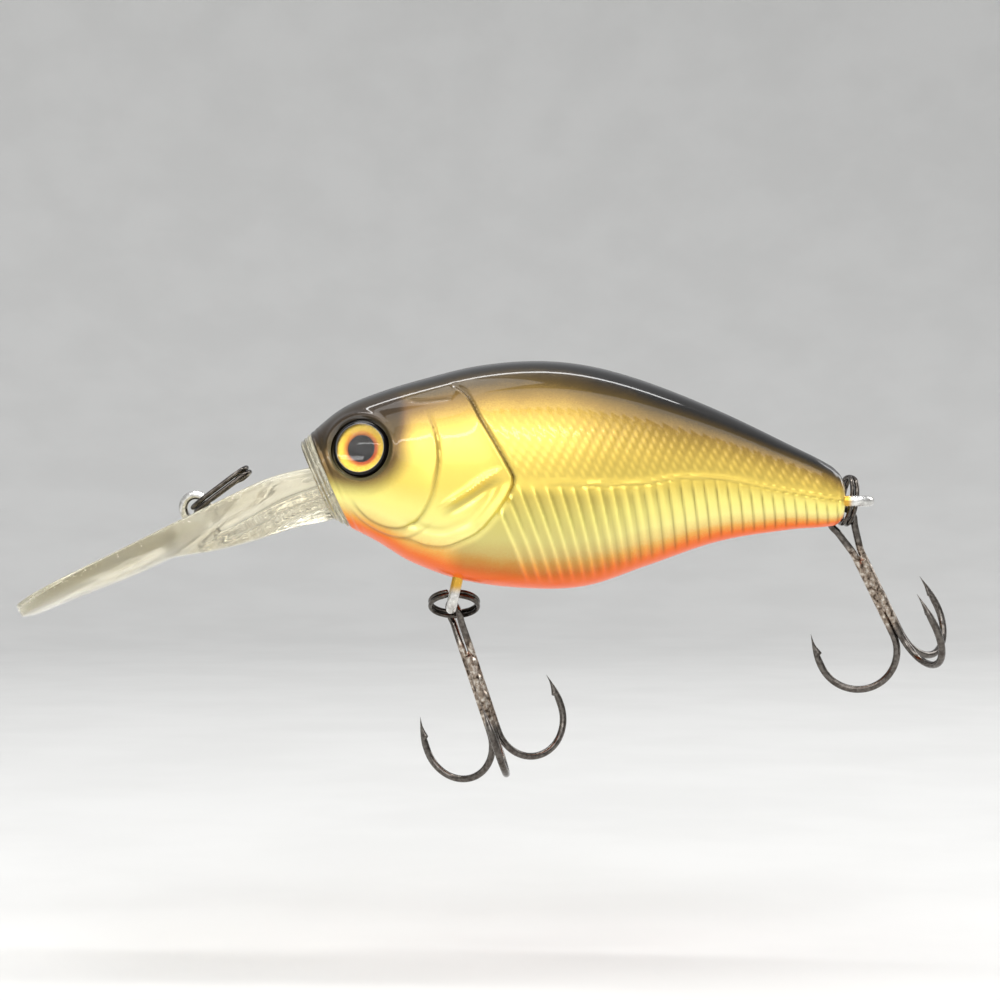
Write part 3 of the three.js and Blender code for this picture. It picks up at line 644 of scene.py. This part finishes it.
def raised_plate(distance, height, reach, groove):
    """A plate that stands highest at its edge, with a groove just outside it."""
    rim = height * np.exp(-np.maximum(distance, 0) / reach) * smooth_step(distance, -0.12, 0.2)
    return rim - groove * bell(distance + 0.2, 0.18)


def relief(x, z):
    """Height of the moulded detail on the flank, in millimetres, and how much painted shade darkens a point in the
    grooves, rib valleys and gaps between the scales.
    """
    cheek, cheek_ends = from_line(x, z, CHEEK_LINE)
    throat, throat_ends = from_line(x, z, THROAT_LINE, 0.25)
    gill, gill_ends = from_line(x, z, GILL_EDGE, 0.06)
    ridge, ridge_ends = from_line(x, z, GILL_RIDGE, 0.3)
    top, top_ends = from_line(x, z, GILL_TOP, 0.2)
    low = 1 - smooth_step(z, 0, LOW_FACE_TOP)
    cheek_rise, cheek_reach = CHEEK_RISE + CHEEK_LOW_RISE * low, CHEEK_REACH + CHEEK_LOW_REACH * low
    height = raised_plate(cheek, cheek_rise, cheek_reach, CHEEK_GROOVE) * cheek_ends
    height += raised_plate(throat, THROAT_RISE, THROAT_REACH, THROAT_GROOVE) * throat_ends
    height += raised_plate(gill, GILL_RISE + GILL_LOW_RISE * low, GILL_REACH, GILL_GROOVE) * gill_ends
    height -= FOLD_DEPTH * bell(gill - FOLD_OFFSET, FOLD_WIDTH) * gill_ends * (1 - smooth_step(z, 1.2, 3.4))
    dip = DIP_DEPTH * bell(ridge + DIP_OFFSET, DIP_WIDTH)
    height += (RIDGE_HEIGHT * bell(ridge, RIDGE_WIDTH) - dip) * ridge_ends
    height -= TOP_DEPTH * bell(top, TOP_WIDTH) * top_ends
    lateral = z - lateral_at(x)
    stitch = 1 - STITCH_DEPTH * smooth_step(x, 54, 60) * (np.sin(2 * np.pi * x / STITCH_PITCH) > 0)
    line_start = smooth_step(x, 34, 39)
    line_cut = LATERAL_DEPTH * bell(lateral + LATERAL_OFFSET, LATERAL_CUT_WIDTH)
    height += (LATERAL_HEIGHT * bell(lateral, LATERAL_WIDTH) - line_cut) * line_start * stitch
    depth = behind_face(x, z)
    neck_rings = np.sin(2 * np.pi * (depth - COLLAR_DEPTH) / NECK_RING_PITCH)
    height += NECK_RING_HEIGHT * neck_rings * (1 - smooth_step(depth, 1.4, 3.1))
    eye = np.hypot(x - EYE_PLACE[0], z - EYE_PLACE[2])
    height += EYE_RIM_HEIGHT * bell(eye - SOCKET_RADIUS - EYE_RIM_OFFSET, EYE_RIM_WIDTH)
    height -= TAIL_SHAVE * smooth_step(x, TAIL_X - 3, TAIL_X - 1)
    rib_height, rib_shade = ribs(x, z, gill)
    scale_height, scale_shade = scales(x, z, gill)
    # Painted shade: darker along the grooves of the cheek, throat, gill plate, gill top and lateral line, added to
    # the painted shade of the ribs and scales.
    groove = 0.85 * bell(gill + 0.14, 0.19) * gill_ends * (0.3 + 0.7 * smooth_step(z, 0, 4))
    groove += 0.4 * bell(cheek + 0.12, 0.16) * cheek_ends + 0.7 * bell(top, 0.14) * top_ends
    groove += 0.25 * bell(throat + 0.12, 0.14) * throat_ends + 0.45 * bell(ridge + 0.7, 0.35) * ridge_ends
    groove += 0.35 * bell(lateral + 0.28, 0.12) * line_start * stitch
    return height + rib_height + scale_height, np.clip(groove + rib_shade + scale_shade, 0, 1)


def smoke_map(x, z):
    """Airbrushed shadow: thin brown over the forehead and cheek, up to 1, black, round the eye."""
    dx, dz = x - EYE_PLACE[0], z - EYE_PLACE[2]
    rim = 1 - smooth_step(np.hypot(dx, dz), SOCKET_RADIUS + 0.1, SOCKET_RADIUS + 0.4)
    around = np.hypot(dx / np.where(dx > 0, 1.1, 1.5), dz / np.where(dz > 0, 1.4, 0.95))
    share = girth_share(x, z)
    forehead = smooth_step(share, 0.6, 0.98) * (1 - smooth_step(x, 18, 34))
    brown = 0.62 * (1 - smooth_step(around, 3, 5.6)) + 0.8 * forehead
    return np.maximum(np.clip(brown, 0, 0.85), rim)


def flank_map(x, z):
    """The paint's place between belly 0 and back 1; the dark back reaches lower towards the tail."""
    share = girth_share(x, z)
    lowered = 0.07 * smooth_step(x, 34, 50) * smooth_step(share, 0.4, 0.7)
    return np.clip(share + lowered, 0, 1)


def shell_mesh(side):
    """One half of the body: the outer skin with its relief, and a plain cavity behind it."""
    turn = np.linspace(0, np.pi, SKIN_ROWS)[None, :]
    front = face_x(COLLAR_DEPTH + 0.03, turn)
    rounding = np.linspace(0, np.pi / 2, 8)[1:, None]
    share = np.linspace(0, 1, SKIN_COLUMNS)[:, None]
    x = np.vstack([
        front + (TAIL_X - TAIL_ROUNDING - front) * share,
        TAIL_X - TAIL_ROUNDING * (1 - np.sin(rounding)) + 0 * turn,
    ])
    inset = np.vstack([0 * share, TAIL_ROUNDING * (1 - np.cos(rounding))])
    y, z = body_point(x, turn + 0 * x, inset)
    skin = np.stack([x, y, z], -1)
    out = np.cross(np.gradient(skin, axis=0), np.gradient(skin, axis=1))
    out /= np.linalg.norm(out, axis=-1, keepdims=True)
    out *= np.sign(out[len(out) // 2, SKIN_ROWS // 2, 1])
    near_seam = smooth_step(np.sin(turn), 0.02, 0.3)
    skin += out * (relief(x, z)[0] * near_seam * (inset < 0.01))[..., None]
    skin[..., 1] = np.maximum(skin[..., 1], 0) + SEAM_GAP / 2

    inner_turn = np.linspace(np.pi, 0, INNER_ROWS)[None, :]
    inner_x = x[:, :1] + (x[:, -1:] - x[:, :1]) * (1 - np.cos(inner_turn)) / 2
    hollow = (inner_x[:, :1] > CAVITY[0]) & (inner_x[:, -1:] < CAVITY[1])
    cavity_y, cavity_z = body_point(inner_x, inner_turn + 0 * inner_x, WALL)
    flat_z = skin[:, -1:, 2] + (skin[:, :1, 2] - skin[:, -1:, 2]) * np.linspace(0.03, 0.97, INNER_ROWS)
    inner = np.stack([
        inner_x,
        np.where(hollow, np.maximum(cavity_y, 0), 0) + SEAM_GAP / 2,
        np.where(hollow, cavity_z, flat_z),
    ], -1)
    rings = np.concatenate([skin, inner], axis=1)
    rings[..., 1] *= side
    return mesh_from(f"shell_{side}", *closed_rings(rings))


def lathe(outline, sides, matrix):
    """A turned shape about +Z, from (radius, height) points, closed flat at both ends."""
    angle = np.linspace(0, 2 * np.pi, sides, endpoint=False)
    r, h = np.array(outline, float).T
    rings = np.stack([
        r[:, None] * np.cos(angle), r[:, None] * np.sin(angle), h[:, None] + 0 * angle,
    ], -1)
    return moved(closed_rings(rings), matrix)


def moved(shape, matrix):
    points, faces = shape
    turn, shift = np.array(matrix.to_3x3()), np.array(matrix.translation)
    return points @ turn.T + shift, faces


def shell(node, side):
    outline = [(SOCKET_RADIUS, -SOCKET_DEPTH), (SOCKET_RADIUS, 0.1), (SOCKET_RADIUS + 0.4, 4)]
    socket = lathe(outline, SOCKET_SIDES, eye_matrix(side))
    mesh = boolean(shell_mesh(side), mesh_from("socket", *socket), "DIFFERENCE")
    x, _, z = points_of(mesh).T
    paint_map(mesh, "flank", flank_map(x, z))
    paint_map(mesh, "smoke", smoke_map(x, z))
    # The painted shade of the grooves, rib valleys and gaps between the scales.
    paint_map(mesh, "groove", relief(x, z)[1])
    paint_map(mesh, "edge", smooth_step(x, TAIL_X - 0.4, TAIL_X))
    make_piece(node, mesh, PAINT, 35)


shell("left_shell", -1)
shell("right_shell", 1)

# ---- Lip -------------------------------------------------------------------------------------

lip_edge_at, lip_half_width_at = profile(LIP_EDGE_Z), profile(LIP_HALF_WIDTH)
lip_cup_at, lip_keel_at = profile(LIP_CUP), profile(LIP_KEEL)
lip_frame = Matrix.Rotation(-LIP_PITCH, 4, "Y")


def lip_skin():
    """A spoon-shaped plate with a keel under its root, whose sides step in and out as moulded ridges."""
    start, end = LIP_EDGE_Z[0][0], LIP_EDGE_Z[-1][0]
    x = (start + (end - start) * np.linspace(0, 1, LIP_COLUMNS))[:, None]
    angle = np.linspace(0, 2 * np.pi, LIP_SIDES, endpoint=False)[None, :]
    across = np.sign(np.sin(angle)) * np.abs(np.sin(angle)) ** 0.75
    y = lip_half_width_at(x) * across
    top = lip_edge_at(x) - lip_cup_at(x) * (1 - across**2)
    rounding = 0.42 * LIP_THICKNESS * across**16
    keel = lip_keel_at(x) / (1 + (y / KEEL_HALF_WIDTH) ** 4)
    ridges = 0.14 * np.sin(2 * np.pi * keel / 0.95) * smooth_step(lip_keel_at(x), 0.4, 1.2)
    bottom = top - LIP_THICKNESS - keel
    z = np.where(np.cos(angle) > 0, top - rounding, bottom + rounding)
    z = np.where(np.abs(np.cos(angle)) < 1e-9, (top + bottom) / 2, z)
    under = (np.cos(angle) < 0) * (np.abs(y) < 1.6 * KEEL_HALF_WIDTH)
    y = y + ridges * np.sign(y) * under * smooth_step(keel, 0.2, 0.6)
    return np.stack([x + 0 * y, y, z], -1)


def collar():
    """The clear mouth between the lip and the painted head, with ridges round it."""
    turn = np.linspace(0, 2 * np.pi, COLLAR_SIDES, endpoint=False)[None, :]
    folded = np.where(turn > np.pi, 2 * np.pi - turn, turn)
    rings = []
    for at in np.linspace(0, COLLAR_DEPTH, COLLAR_COLUMNS):
        x = face_x(at, folded)[0]
        y, z = body_point(x, folded[0])
        grow = 0.07 * math.sin(2 * math.pi * at / 0.43) - 0.1 * float(bell(at, 0.12))
        scale = 1 + grow / 4
        middle = (z.max() + z.min()) / 2
        across = np.where(turn[0] > np.pi, -y, y) * scale
        rings.append(np.stack([x, across, middle + (z - middle) * scale], -1))
    return np.array(rings)


def lip():
    blade = mesh_from("lip_blade", *moved(closed_rings(lip_skin()), lip_frame))
    mouth = mesh_from("mouth", *closed_rings(collar()))
    mesh = boolean(blade, mouth, "UNION")
    local = points_of(mesh) @ np.array(lip_frame.to_3x3())
    share = np.abs(local[:, 1]) / lip_half_width_at(local[:, 0])
    tip = 1 - smooth_step(local[:, 0], LIP_EDGE_Z[0][0], LIP_EDGE_Z[0][0] + 1)
    paint_map(mesh, "edge", np.maximum(smooth_step(share, 0.93, 1.0), tip) * (local[:, 0] < 6))
    make_piece("diving_lip", mesh, CLEAR, 35)


lip()

# ---- Wires -----------------------------------------------------------------------------------


def resample(points, step):
    """The same path with points that far apart."""
    lengths = run_of(points)
    count = max(int(round(lengths[-1] / step)), 2)
    at = np.linspace(0, lengths[-1], count + 1)
    return np.stack([np.interp(at, lengths, points[:, i]) for i in range(3)], -1)


def relax(points, passes):
    for _ in range(passes):
        points[1:-1] = points[1:-1] / 2 + (points[:-2] + points[2:]) / 4
    return points


def bent_wire(points, step=WIRE_STEP, passes=8):
    return relax(resample(np.array(points, float), step), passes)


def unit(v):
    return v / np.linalg.norm(v, axis=-1, keepdims=True)


def sweep(points, radii, sides, swell=None):
    """A closed wire along points; swell(directions) gives more radius by direction."""
    tangents = unit(np.gradient(points, axis=0))
    normal = unit(np.cross((0.31, 0.52, 0.79), tangents[0]))
    angle = np.linspace(0, 2 * np.pi, sides, endpoint=False)[:, None]
    directions = []
    for tangent in tangents:
        normal = unit(normal - np.dot(normal, tangent) * tangent)
        directions.append(normal * np.cos(angle) + np.cross(tangent, normal) * np.sin(angle))
    directions = np.array(directions)
    reach = np.broadcast_to(np.reshape(radii, (-1, 1)), directions.shape[:2])
    if swell is not None:
        reach = reach + swell(directions)
    return closed_rings(points[:, None] + directions * reach[..., None])


def arc(centre, u, v, radius, start, end, steps=60):
    a = np.linspace(start, end, steps)[:, None]
    return np.asarray(centre) + radius * (np.cos(a) * u + np.sin(a) * v)


def cut_ends(points, radius):
    """Full radius all along, a little rounded at both ends."""
    radii = np.full(len(points), radius)
    radii[[0, -1]] = 0.72 * radius
    return radii


def hanger(node, across, up, legs, feet, matrix, painted):
    bend = arc((0, 0, 0), across, up, LOOP_RADIUS, -np.pi, 0)
    path = [feet[0], -LOOP_RADIUS * across + legs * up, *bend, LOOP_RADIUS * across + legs * up, feet[1]]
    points = bent_wire(path)
    mesh = mesh_from(node, *moved(sweep(points, cut_ends(points, HANGER_WIRE / 2), WIRE_SIDES), matrix))
    x, y, z = points_of(mesh).T
    paint_map(mesh, "painted", painted(x, y, z))
    make_piece(node, mesh, BRIGHT_WIRE)


def hangers():
    wide, high = LOOP_RADIUS + FOOT, BELLY_LEGS + FOOT / 2
    feet = [np.array((0, -wide, high)), np.array((0, wide, high))]
    place = Matrix.Translation(BELLY_HOLE) @ Matrix.Rotation(BELLY_LEAN, 4, "Y")
    hanger("belly_hanger", AXIS_Y, AXIS_Z, BELLY_LEGS, feet, place,
           lambda x, y, z: smooth_step(z, BELLY_HOLE[2] + 0.1, BELLY_HOLE[2] + 1.1))
    deep = -TAIL_LEGS - FOOT / 2
    feet = [np.array((deep, -LOOP_RADIUS, -FOOT)), np.array((deep, LOOP_RADIUS, -FOOT))]
    hanger("tail_hanger", AXIS_Y, -AXIS_X, TAIL_LEGS, feet, Matrix.Translation(TAIL_HOLE),
           lambda x, y, z: 1 - smooth_step(x, TAIL_X + 0.2, TAIL_X + 0.8))


def line_tie():
    """A loop standing on the lip, its legs running back inside the lip's keel."""
    rear = LIP_EDGE_Z[-1][0] + 0.9
    under = TIE_DEPTH - TIE_WIRE
    s = TIE_LEG_SPREAD
    start = [(rear, -s, TIE_DEPTH - 1), (2.4, -s, TIE_DEPTH), (0.9, -s, TIE_DEPTH + 0.5)]
    end = [(-0.9, s, TIE_DEPTH + 0.5), (2.2, s, under), (rear, s, under - 1)]
    loop = arc((0, 0, 0), AXIS_X, AXIS_Z, TIE_RADIUS, -TIE_OPENING, np.pi + TIE_OPENING)
    loop[:, 1] = np.linspace(-s, s, len(loop))
    points = bent_wire([*start, *loop, *end])
    mesh = mesh_from("tie", *moved(sweep(points, cut_ends(points, TIE_WIRE / 2), WIRE_SIDES), lip_frame))
    paint_map(mesh, "painted", np.zeros(len(mesh.vertices)))
    make_piece("line_tie_wire", mesh, BRIGHT_WIRE)


def split_ring(node, wire, radius, straight, matrix):
    """Two flat coils joined by a short jog; straight makes the ring oval along X."""
    share = np.linspace(0, 1, 360)
    angle = RING_START + RING_TURNS * share
    jog = smooth_step(share, 0.46, 0.54)
    points = np.stack([
        radius * np.cos(angle) + np.sign(np.cos(angle)) * straight / 2,
        radius * np.sin(angle),
        (wire + RING_COIL_GAP) / 2 * (2 * jog - 1),
    ], -1)
    points = bent_wire(points, RING_STEP, 6)
    mesh = mesh_from(node, *moved(sweep(points, cut_ends(points, wire / 2), RING_SIDES), matrix))
    make_piece(node, mesh, RING_METAL)


def joint_place(name):
    return Matrix.Translation(Vector(JOINTS[name]["pos_m"]) / MM)


def rings():
    place = joint_place("line_ring_swing") @ Matrix.Rotation(-LINE_RING_RISE, 4, "Y")
    shift = Matrix.Translation((OVAL_RADIUS + OVAL_STRAIGHT / 2, 0, 0))
    split_ring("line_ring", OVAL_WIRE, OVAL_RADIUS, OVAL_STRAIGHT, place @ shift)
    upright = Matrix.Rotation(math.pi / 2, 4, "X")
    place = joint_place("belly_ring_tip") @ Matrix.Rotation(BELLY_RING_TIP, 4, "X")
    place = place @ Matrix.Translation((0, 0, -RING_RADIUS)) @ upright
    split_ring("belly_ring", RING_WIRE, RING_RADIUS, 0, place)
    place = joint_place("tail_ring_turn") @ Matrix.Rotation(TAIL_RING_LEAN, 4, "Y")
    place = place @ Matrix.Rotation(TAIL_RING_TURN, 4, "Z")
    place = place @ Matrix.Translation((RING_RADIUS, 0, 0)) @ upright
    split_ring("tail_ring", RING_WIRE, RING_RADIUS, 0, place)


# ---- Treble hooks ----------------------------------------------------------------------------

HOOK_OUT = {
    "left": np.array((-math.sin(math.pi / 3), math.cos(math.pi / 3), 0)),
    "right": np.array((math.sin(math.pi / 3), math.cos(math.pi / 3), 0)),
    "front": -AXIS_Y,
}


def bend_path(out):
    """Centreline from the shank round the bend to the point."""
    centre = (PACKING + BEND_RADIUS) * out - BEND_DEPTH * AXIS_Z
    t = np.linspace(0, 1, 30)[1:, None]
    point = centre + out * (BEND_RADIUS - POINT_LEAN * t**2) + AXIS_Z * (BEND_DEPTH - POINT_DEPTH) * t
    return [*arc(centre, -out, -AXIS_Z, BEND_RADIUS, 0, np.pi, 90), *point]


def point_radii(from_tip):
    """The wire's radius by distance from the point: a long needle."""
    share = smooth_step(from_tip, -0.9, 3.2) ** 1.15
    return HOOK_WIRE / 2 * np.maximum(share - 0.06, 0.03)


def barb(from_tip, directions, inward):
    """A sliver raised on the inner side, sloping up from the point and dropping off sharply."""
    slope = np.clip((from_tip - (BARB_PLACE - BARB_LENGTH)) / BARB_LENGTH, 0, 1)
    drop = 1 - smooth_step(from_tip, BARB_PLACE, BARB_PLACE + 0.22)
    facing = np.clip(directions @ inward, 0, 1) ** 4
    return BARB_HEIGHT * (slope**1.4 * drop)[:, None] * facing


def braze():
    """Solder that fills the grooves between the three wires of the shank."""
    height = np.linspace(BRAZE_TOP, BRAZE_FOOT, 90)
    angle = np.linspace(0, 2 * np.pi, 30, endpoint=False)
    ends = smooth_step(BRAZE_TOP - height, 0, 0.9) * smooth_step(height - BRAZE_FOOT, 0, 1.6)
    wave = 0.04 * np.sin(5.1 * height)[:, None] * np.cos(angle + height[:, None] * 1.7)
    lobes = BRAZE_LOBE * np.cos(3 * (angle - math.pi / 6))[None, :]
    reach = (BRAZE_RADIUS + lobes + wave) * (0.35 + 0.65 * ends)[:, None]
    rings = np.stack([reach * np.cos(angle), reach * np.sin(angle), height[:, None] + 0 * reach], -1)
    return closed_rings(rings)


def hook_piece(node, shapes, matrix):
    points, faces = joined(*shapes)
    shank = 1 - smooth_step(np.hypot(points[:, 0], points[:, 1]), 0.9, 1.25)
    shank *= smooth_step(-points[:, 2], EYE_END - 1.2, EYE_END) * (1 - smooth_step(-points[:, 2], 11.2, 13))
    mesh = mesh_from(node, *moved((points, faces), matrix))
    paint_map(mesh, "braze", shank)
    make_piece(node, mesh, HOOK_METAL)


def double_hook(node, eye_twist, matrix):
    """One wire: a point, a bend, the shank, the eye, the shank again, a bend and a point."""
    left, right = HOOK_OUT["left"], HOOK_OUT["right"]
    across = np.array((math.cos(eye_twist), math.sin(eye_twist), 0))
    eye = arc((0, PACKING * left[1] / 2, 0), across, AXIS_Z, EYE_RADIUS, np.pi + EYE_OPENING, -EYE_OPENING)
    neck = [PACKING * out - EYE_END * AXIS_Z for out in (left, right)]
    points = bent_wire([*bend_path(left)[::-1], neck[0], *eye, neck[1], *bend_path(right)])
    first = run_of(points)
    last = first[-1] - first
    wire = sweep(points, np.minimum(point_radii(first), point_radii(last)), HOOK_SIDES,
                 lambda way: barb(first, way, -left) + barb(last, way, -right))
    hook_piece(node, [wire, braze()], matrix)


def single_hook(node, matrix):
    out = HOOK_OUT["front"]
    top = PACKING * out - (EYE_END + SINGLE_START) * AXIS_Z
    points = bent_wire([top, *bend_path(out)])
    run = run_of(points)
    last = run[-1] - run
    radii = point_radii(last)
    radii[0] *= 0.7
    hook_piece(node, [sweep(points, radii, HOOK_SIDES, lambda way: barb(last, way, -out))], matrix)


def treble(name, swing, spin, eye_twist):
    turn = Matrix.Rotation(-swing, 4, "Y") @ Matrix.Rotation(spin, 4, "Z")
    place = joint_place(f"{name}_treble_swing") @ turn
    double_hook(f"{name}_double_hook", eye_twist, place)
    single_hook(f"{name}_single_hook", place)


hangers()
line_tie()
rings()
treble("belly", BELLY_SWING, 0, BELLY_EYE_TWIST)
treble("tail", TAIL_SWING, TAIL_SPIN, -TAIL_SPIN)

# ---- Eyes ------------------------------------------------------------------------------------


def from_axis(mesh, place):
    """How far a mesh's points are from a frame's Z axis."""
    local = (points_of(mesh) - np.array(place.translation)) @ np.array(place.to_3x3())
    return np.hypot(local[:, 0], local[:, 1])


def fish_eye(side, name):
    place = eye_matrix(side)
    base = EYE_GAP - SOCKET_DEPTH
    top = base + FOIL_THICKNESS
    outline = [(EYE_DISC - 0.03, base), (EYE_DISC, base + 0.04), (EYE_DISC, top - 0.03)]
    outline += [(r, top) for r in np.linspace(0.05, EYE_DISC - 0.03, 40)[::-1]]
    mesh = mesh_from("foil", *lathe(outline, EYE_SIDES, place))
    paint_map(mesh, "radius", from_axis(mesh, place) / EYE_MAP)
    x, _, z = (points_of(mesh) - np.array(place.translation)).T
    paint_map(mesh, "low_side", np.clip((x - z) / np.maximum(np.hypot(x, z), 0.1) * 0.7 + 0.1, 0, 1))
    make_piece(f"{name}_foil", mesh, FOIL)

    base = top + EYE_GAP
    a = np.linspace(0, np.pi / 2, 28)
    crown = [(EYE_DISC * math.cos(t), DOME_RIM + (DOME_HEIGHT - DOME_RIM) * math.sin(t)) for t in a[:-1]]
    outline = [(EYE_DISC * 0.5, base), (EYE_DISC - 0.05, base), (EYE_DISC, base + 0.05)]
    outline += [(r, base + h) for r, h in crown]
    mesh = mesh_from("dome", *lathe(outline, EYE_SIDES, place))
    paint_map(mesh, "radius", from_axis(mesh, place) / EYE_MAP)
    make_piece(f"{name}_dome", mesh, RESIN)


fish_eye(-1, "left_eye")
fish_eye(1, "right_eye")

# ---- Inside pieces keep their CAD shape ------------------------------------------------------

for node in ("belly_weight", "transfer_ball", "front_rattle_ball", "rear_rattle_ball"):
    inside = frame["nodes"][node]
    inside.data.materials.clear()
    inside.data.materials.append(BRASS if node == "belly_weight" else BALL_METAL)

# ---- Stage -----------------------------------------------------------------------------------

# The floor is in millimetres like the shapes, and the lights and the camera are in metres.
low, high = (np.array(corner) / MM for corner in cad_box)
FLOOR_CENTRE = ((low[0] + high[0]) / 2, 0, low[2] - 16)
FLOOR_RADIUS, BOWL_RADIUS, BOWL_SIDES = 500, 450, 96
VIEW_WIDTH = 0.1018
VIEW_CENTRE = Vector((0.03096, 0, 0.00081))
SKY_COLOUR, SKY_STRENGTH = (0.95, 0.97, 1, 1), 0.62


def bowl_floor():
    """A round floor, flat in the middle, that sweeps up on every side."""
    bend = np.linspace(0, np.pi / 2, 24)
    radius = FLOOR_RADIUS + BOWL_RADIUS * np.sin(bend)
    height = BOWL_RADIUS * (1 - np.cos(bend))
    angle = np.linspace(0, 2 * np.pi, BOWL_SIDES, endpoint=False)
    points = np.stack([
        radius[:, None] * np.cos(angle), radius[:, None] * np.sin(angle), height[:, None] + 0 * angle,
    ], -1).reshape(-1, 3) + FLOOR_CENTRE
    mesh = mesh_from("floor", points, [list(range(BOWL_SIDES)), *grid_faces(len(radius), BOWL_SIDES)])
    mesh.materials.append(floor_cloth())
    mesh.shade_smooth()
    floor = bpy.data.objects.new("floor", mesh)
    bpy.context.scene.collection.objects.link(floor)


def area_light(name, place, size, power, target=VIEW_CENTRE):
    light = bpy.data.lights.new(name, "AREA")
    light.shape = "RECTANGLE"
    light.size, light.size_y = size
    light.energy = power
    lamp = bpy.data.objects.new(name, light)
    lamp.location = Vector(place)
    lamp.rotation_euler = (Vector(target) - lamp.location).to_track_quat("-Z", "Y").to_euler()
    bpy.context.scene.collection.objects.link(lamp)


def studio():
    area_light("front_panel", (-0.1, -0.72, 0.33), (1.1, 0.5), 2.4)
    area_light("front_strip", (-0.03, -0.42, 0.2), (0.4, 0.02), 0.25)
    area_light("floor_glow", (0.03, -0.17, 0.24), (0.5, 0.14), 0.55, target=(0.03, -0.15, -0.05))
    area_light("overhead", (-0.12, -0.1, 0.75), (0.4, 0.3), 1.2)
    area_light("back_strip", (0.04, 0.1, 0.46), (0.5, 0.03), 0.8)
    area_light("right_fill", (0.5, 0.3, 0.3), (0.25, 0.3), 1)
    world = bpy.data.worlds.new("studio")
    world.use_nodes = True
    sky = world.node_tree.nodes["Background"].inputs
    sky["Color"].default_value = SKY_COLOUR
    sky["Strength"].default_value = SKY_STRENGTH
    bpy.context.scene.world = world
    bpy.context.scene.view_settings.view_transform = "Standard"


def camera():
    lens = bpy.data.cameras.new("camera")
    lens.lens = 85
    lens.clip_start, lens.clip_end = 0.01, 10
    eye = bpy.data.objects.new("camera", lens)
    distance = VIEW_WIDTH / lens.sensor_width * lens.lens
    eye.location = VIEW_CENTRE - Vector((0, distance, 0))
    eye.rotation_euler = (math.pi / 2, 0, 0)
    bpy.context.scene.collection.objects.link(eye)
    bpy.context.scene.camera = eye


bowl_floor()
studio()
camera()
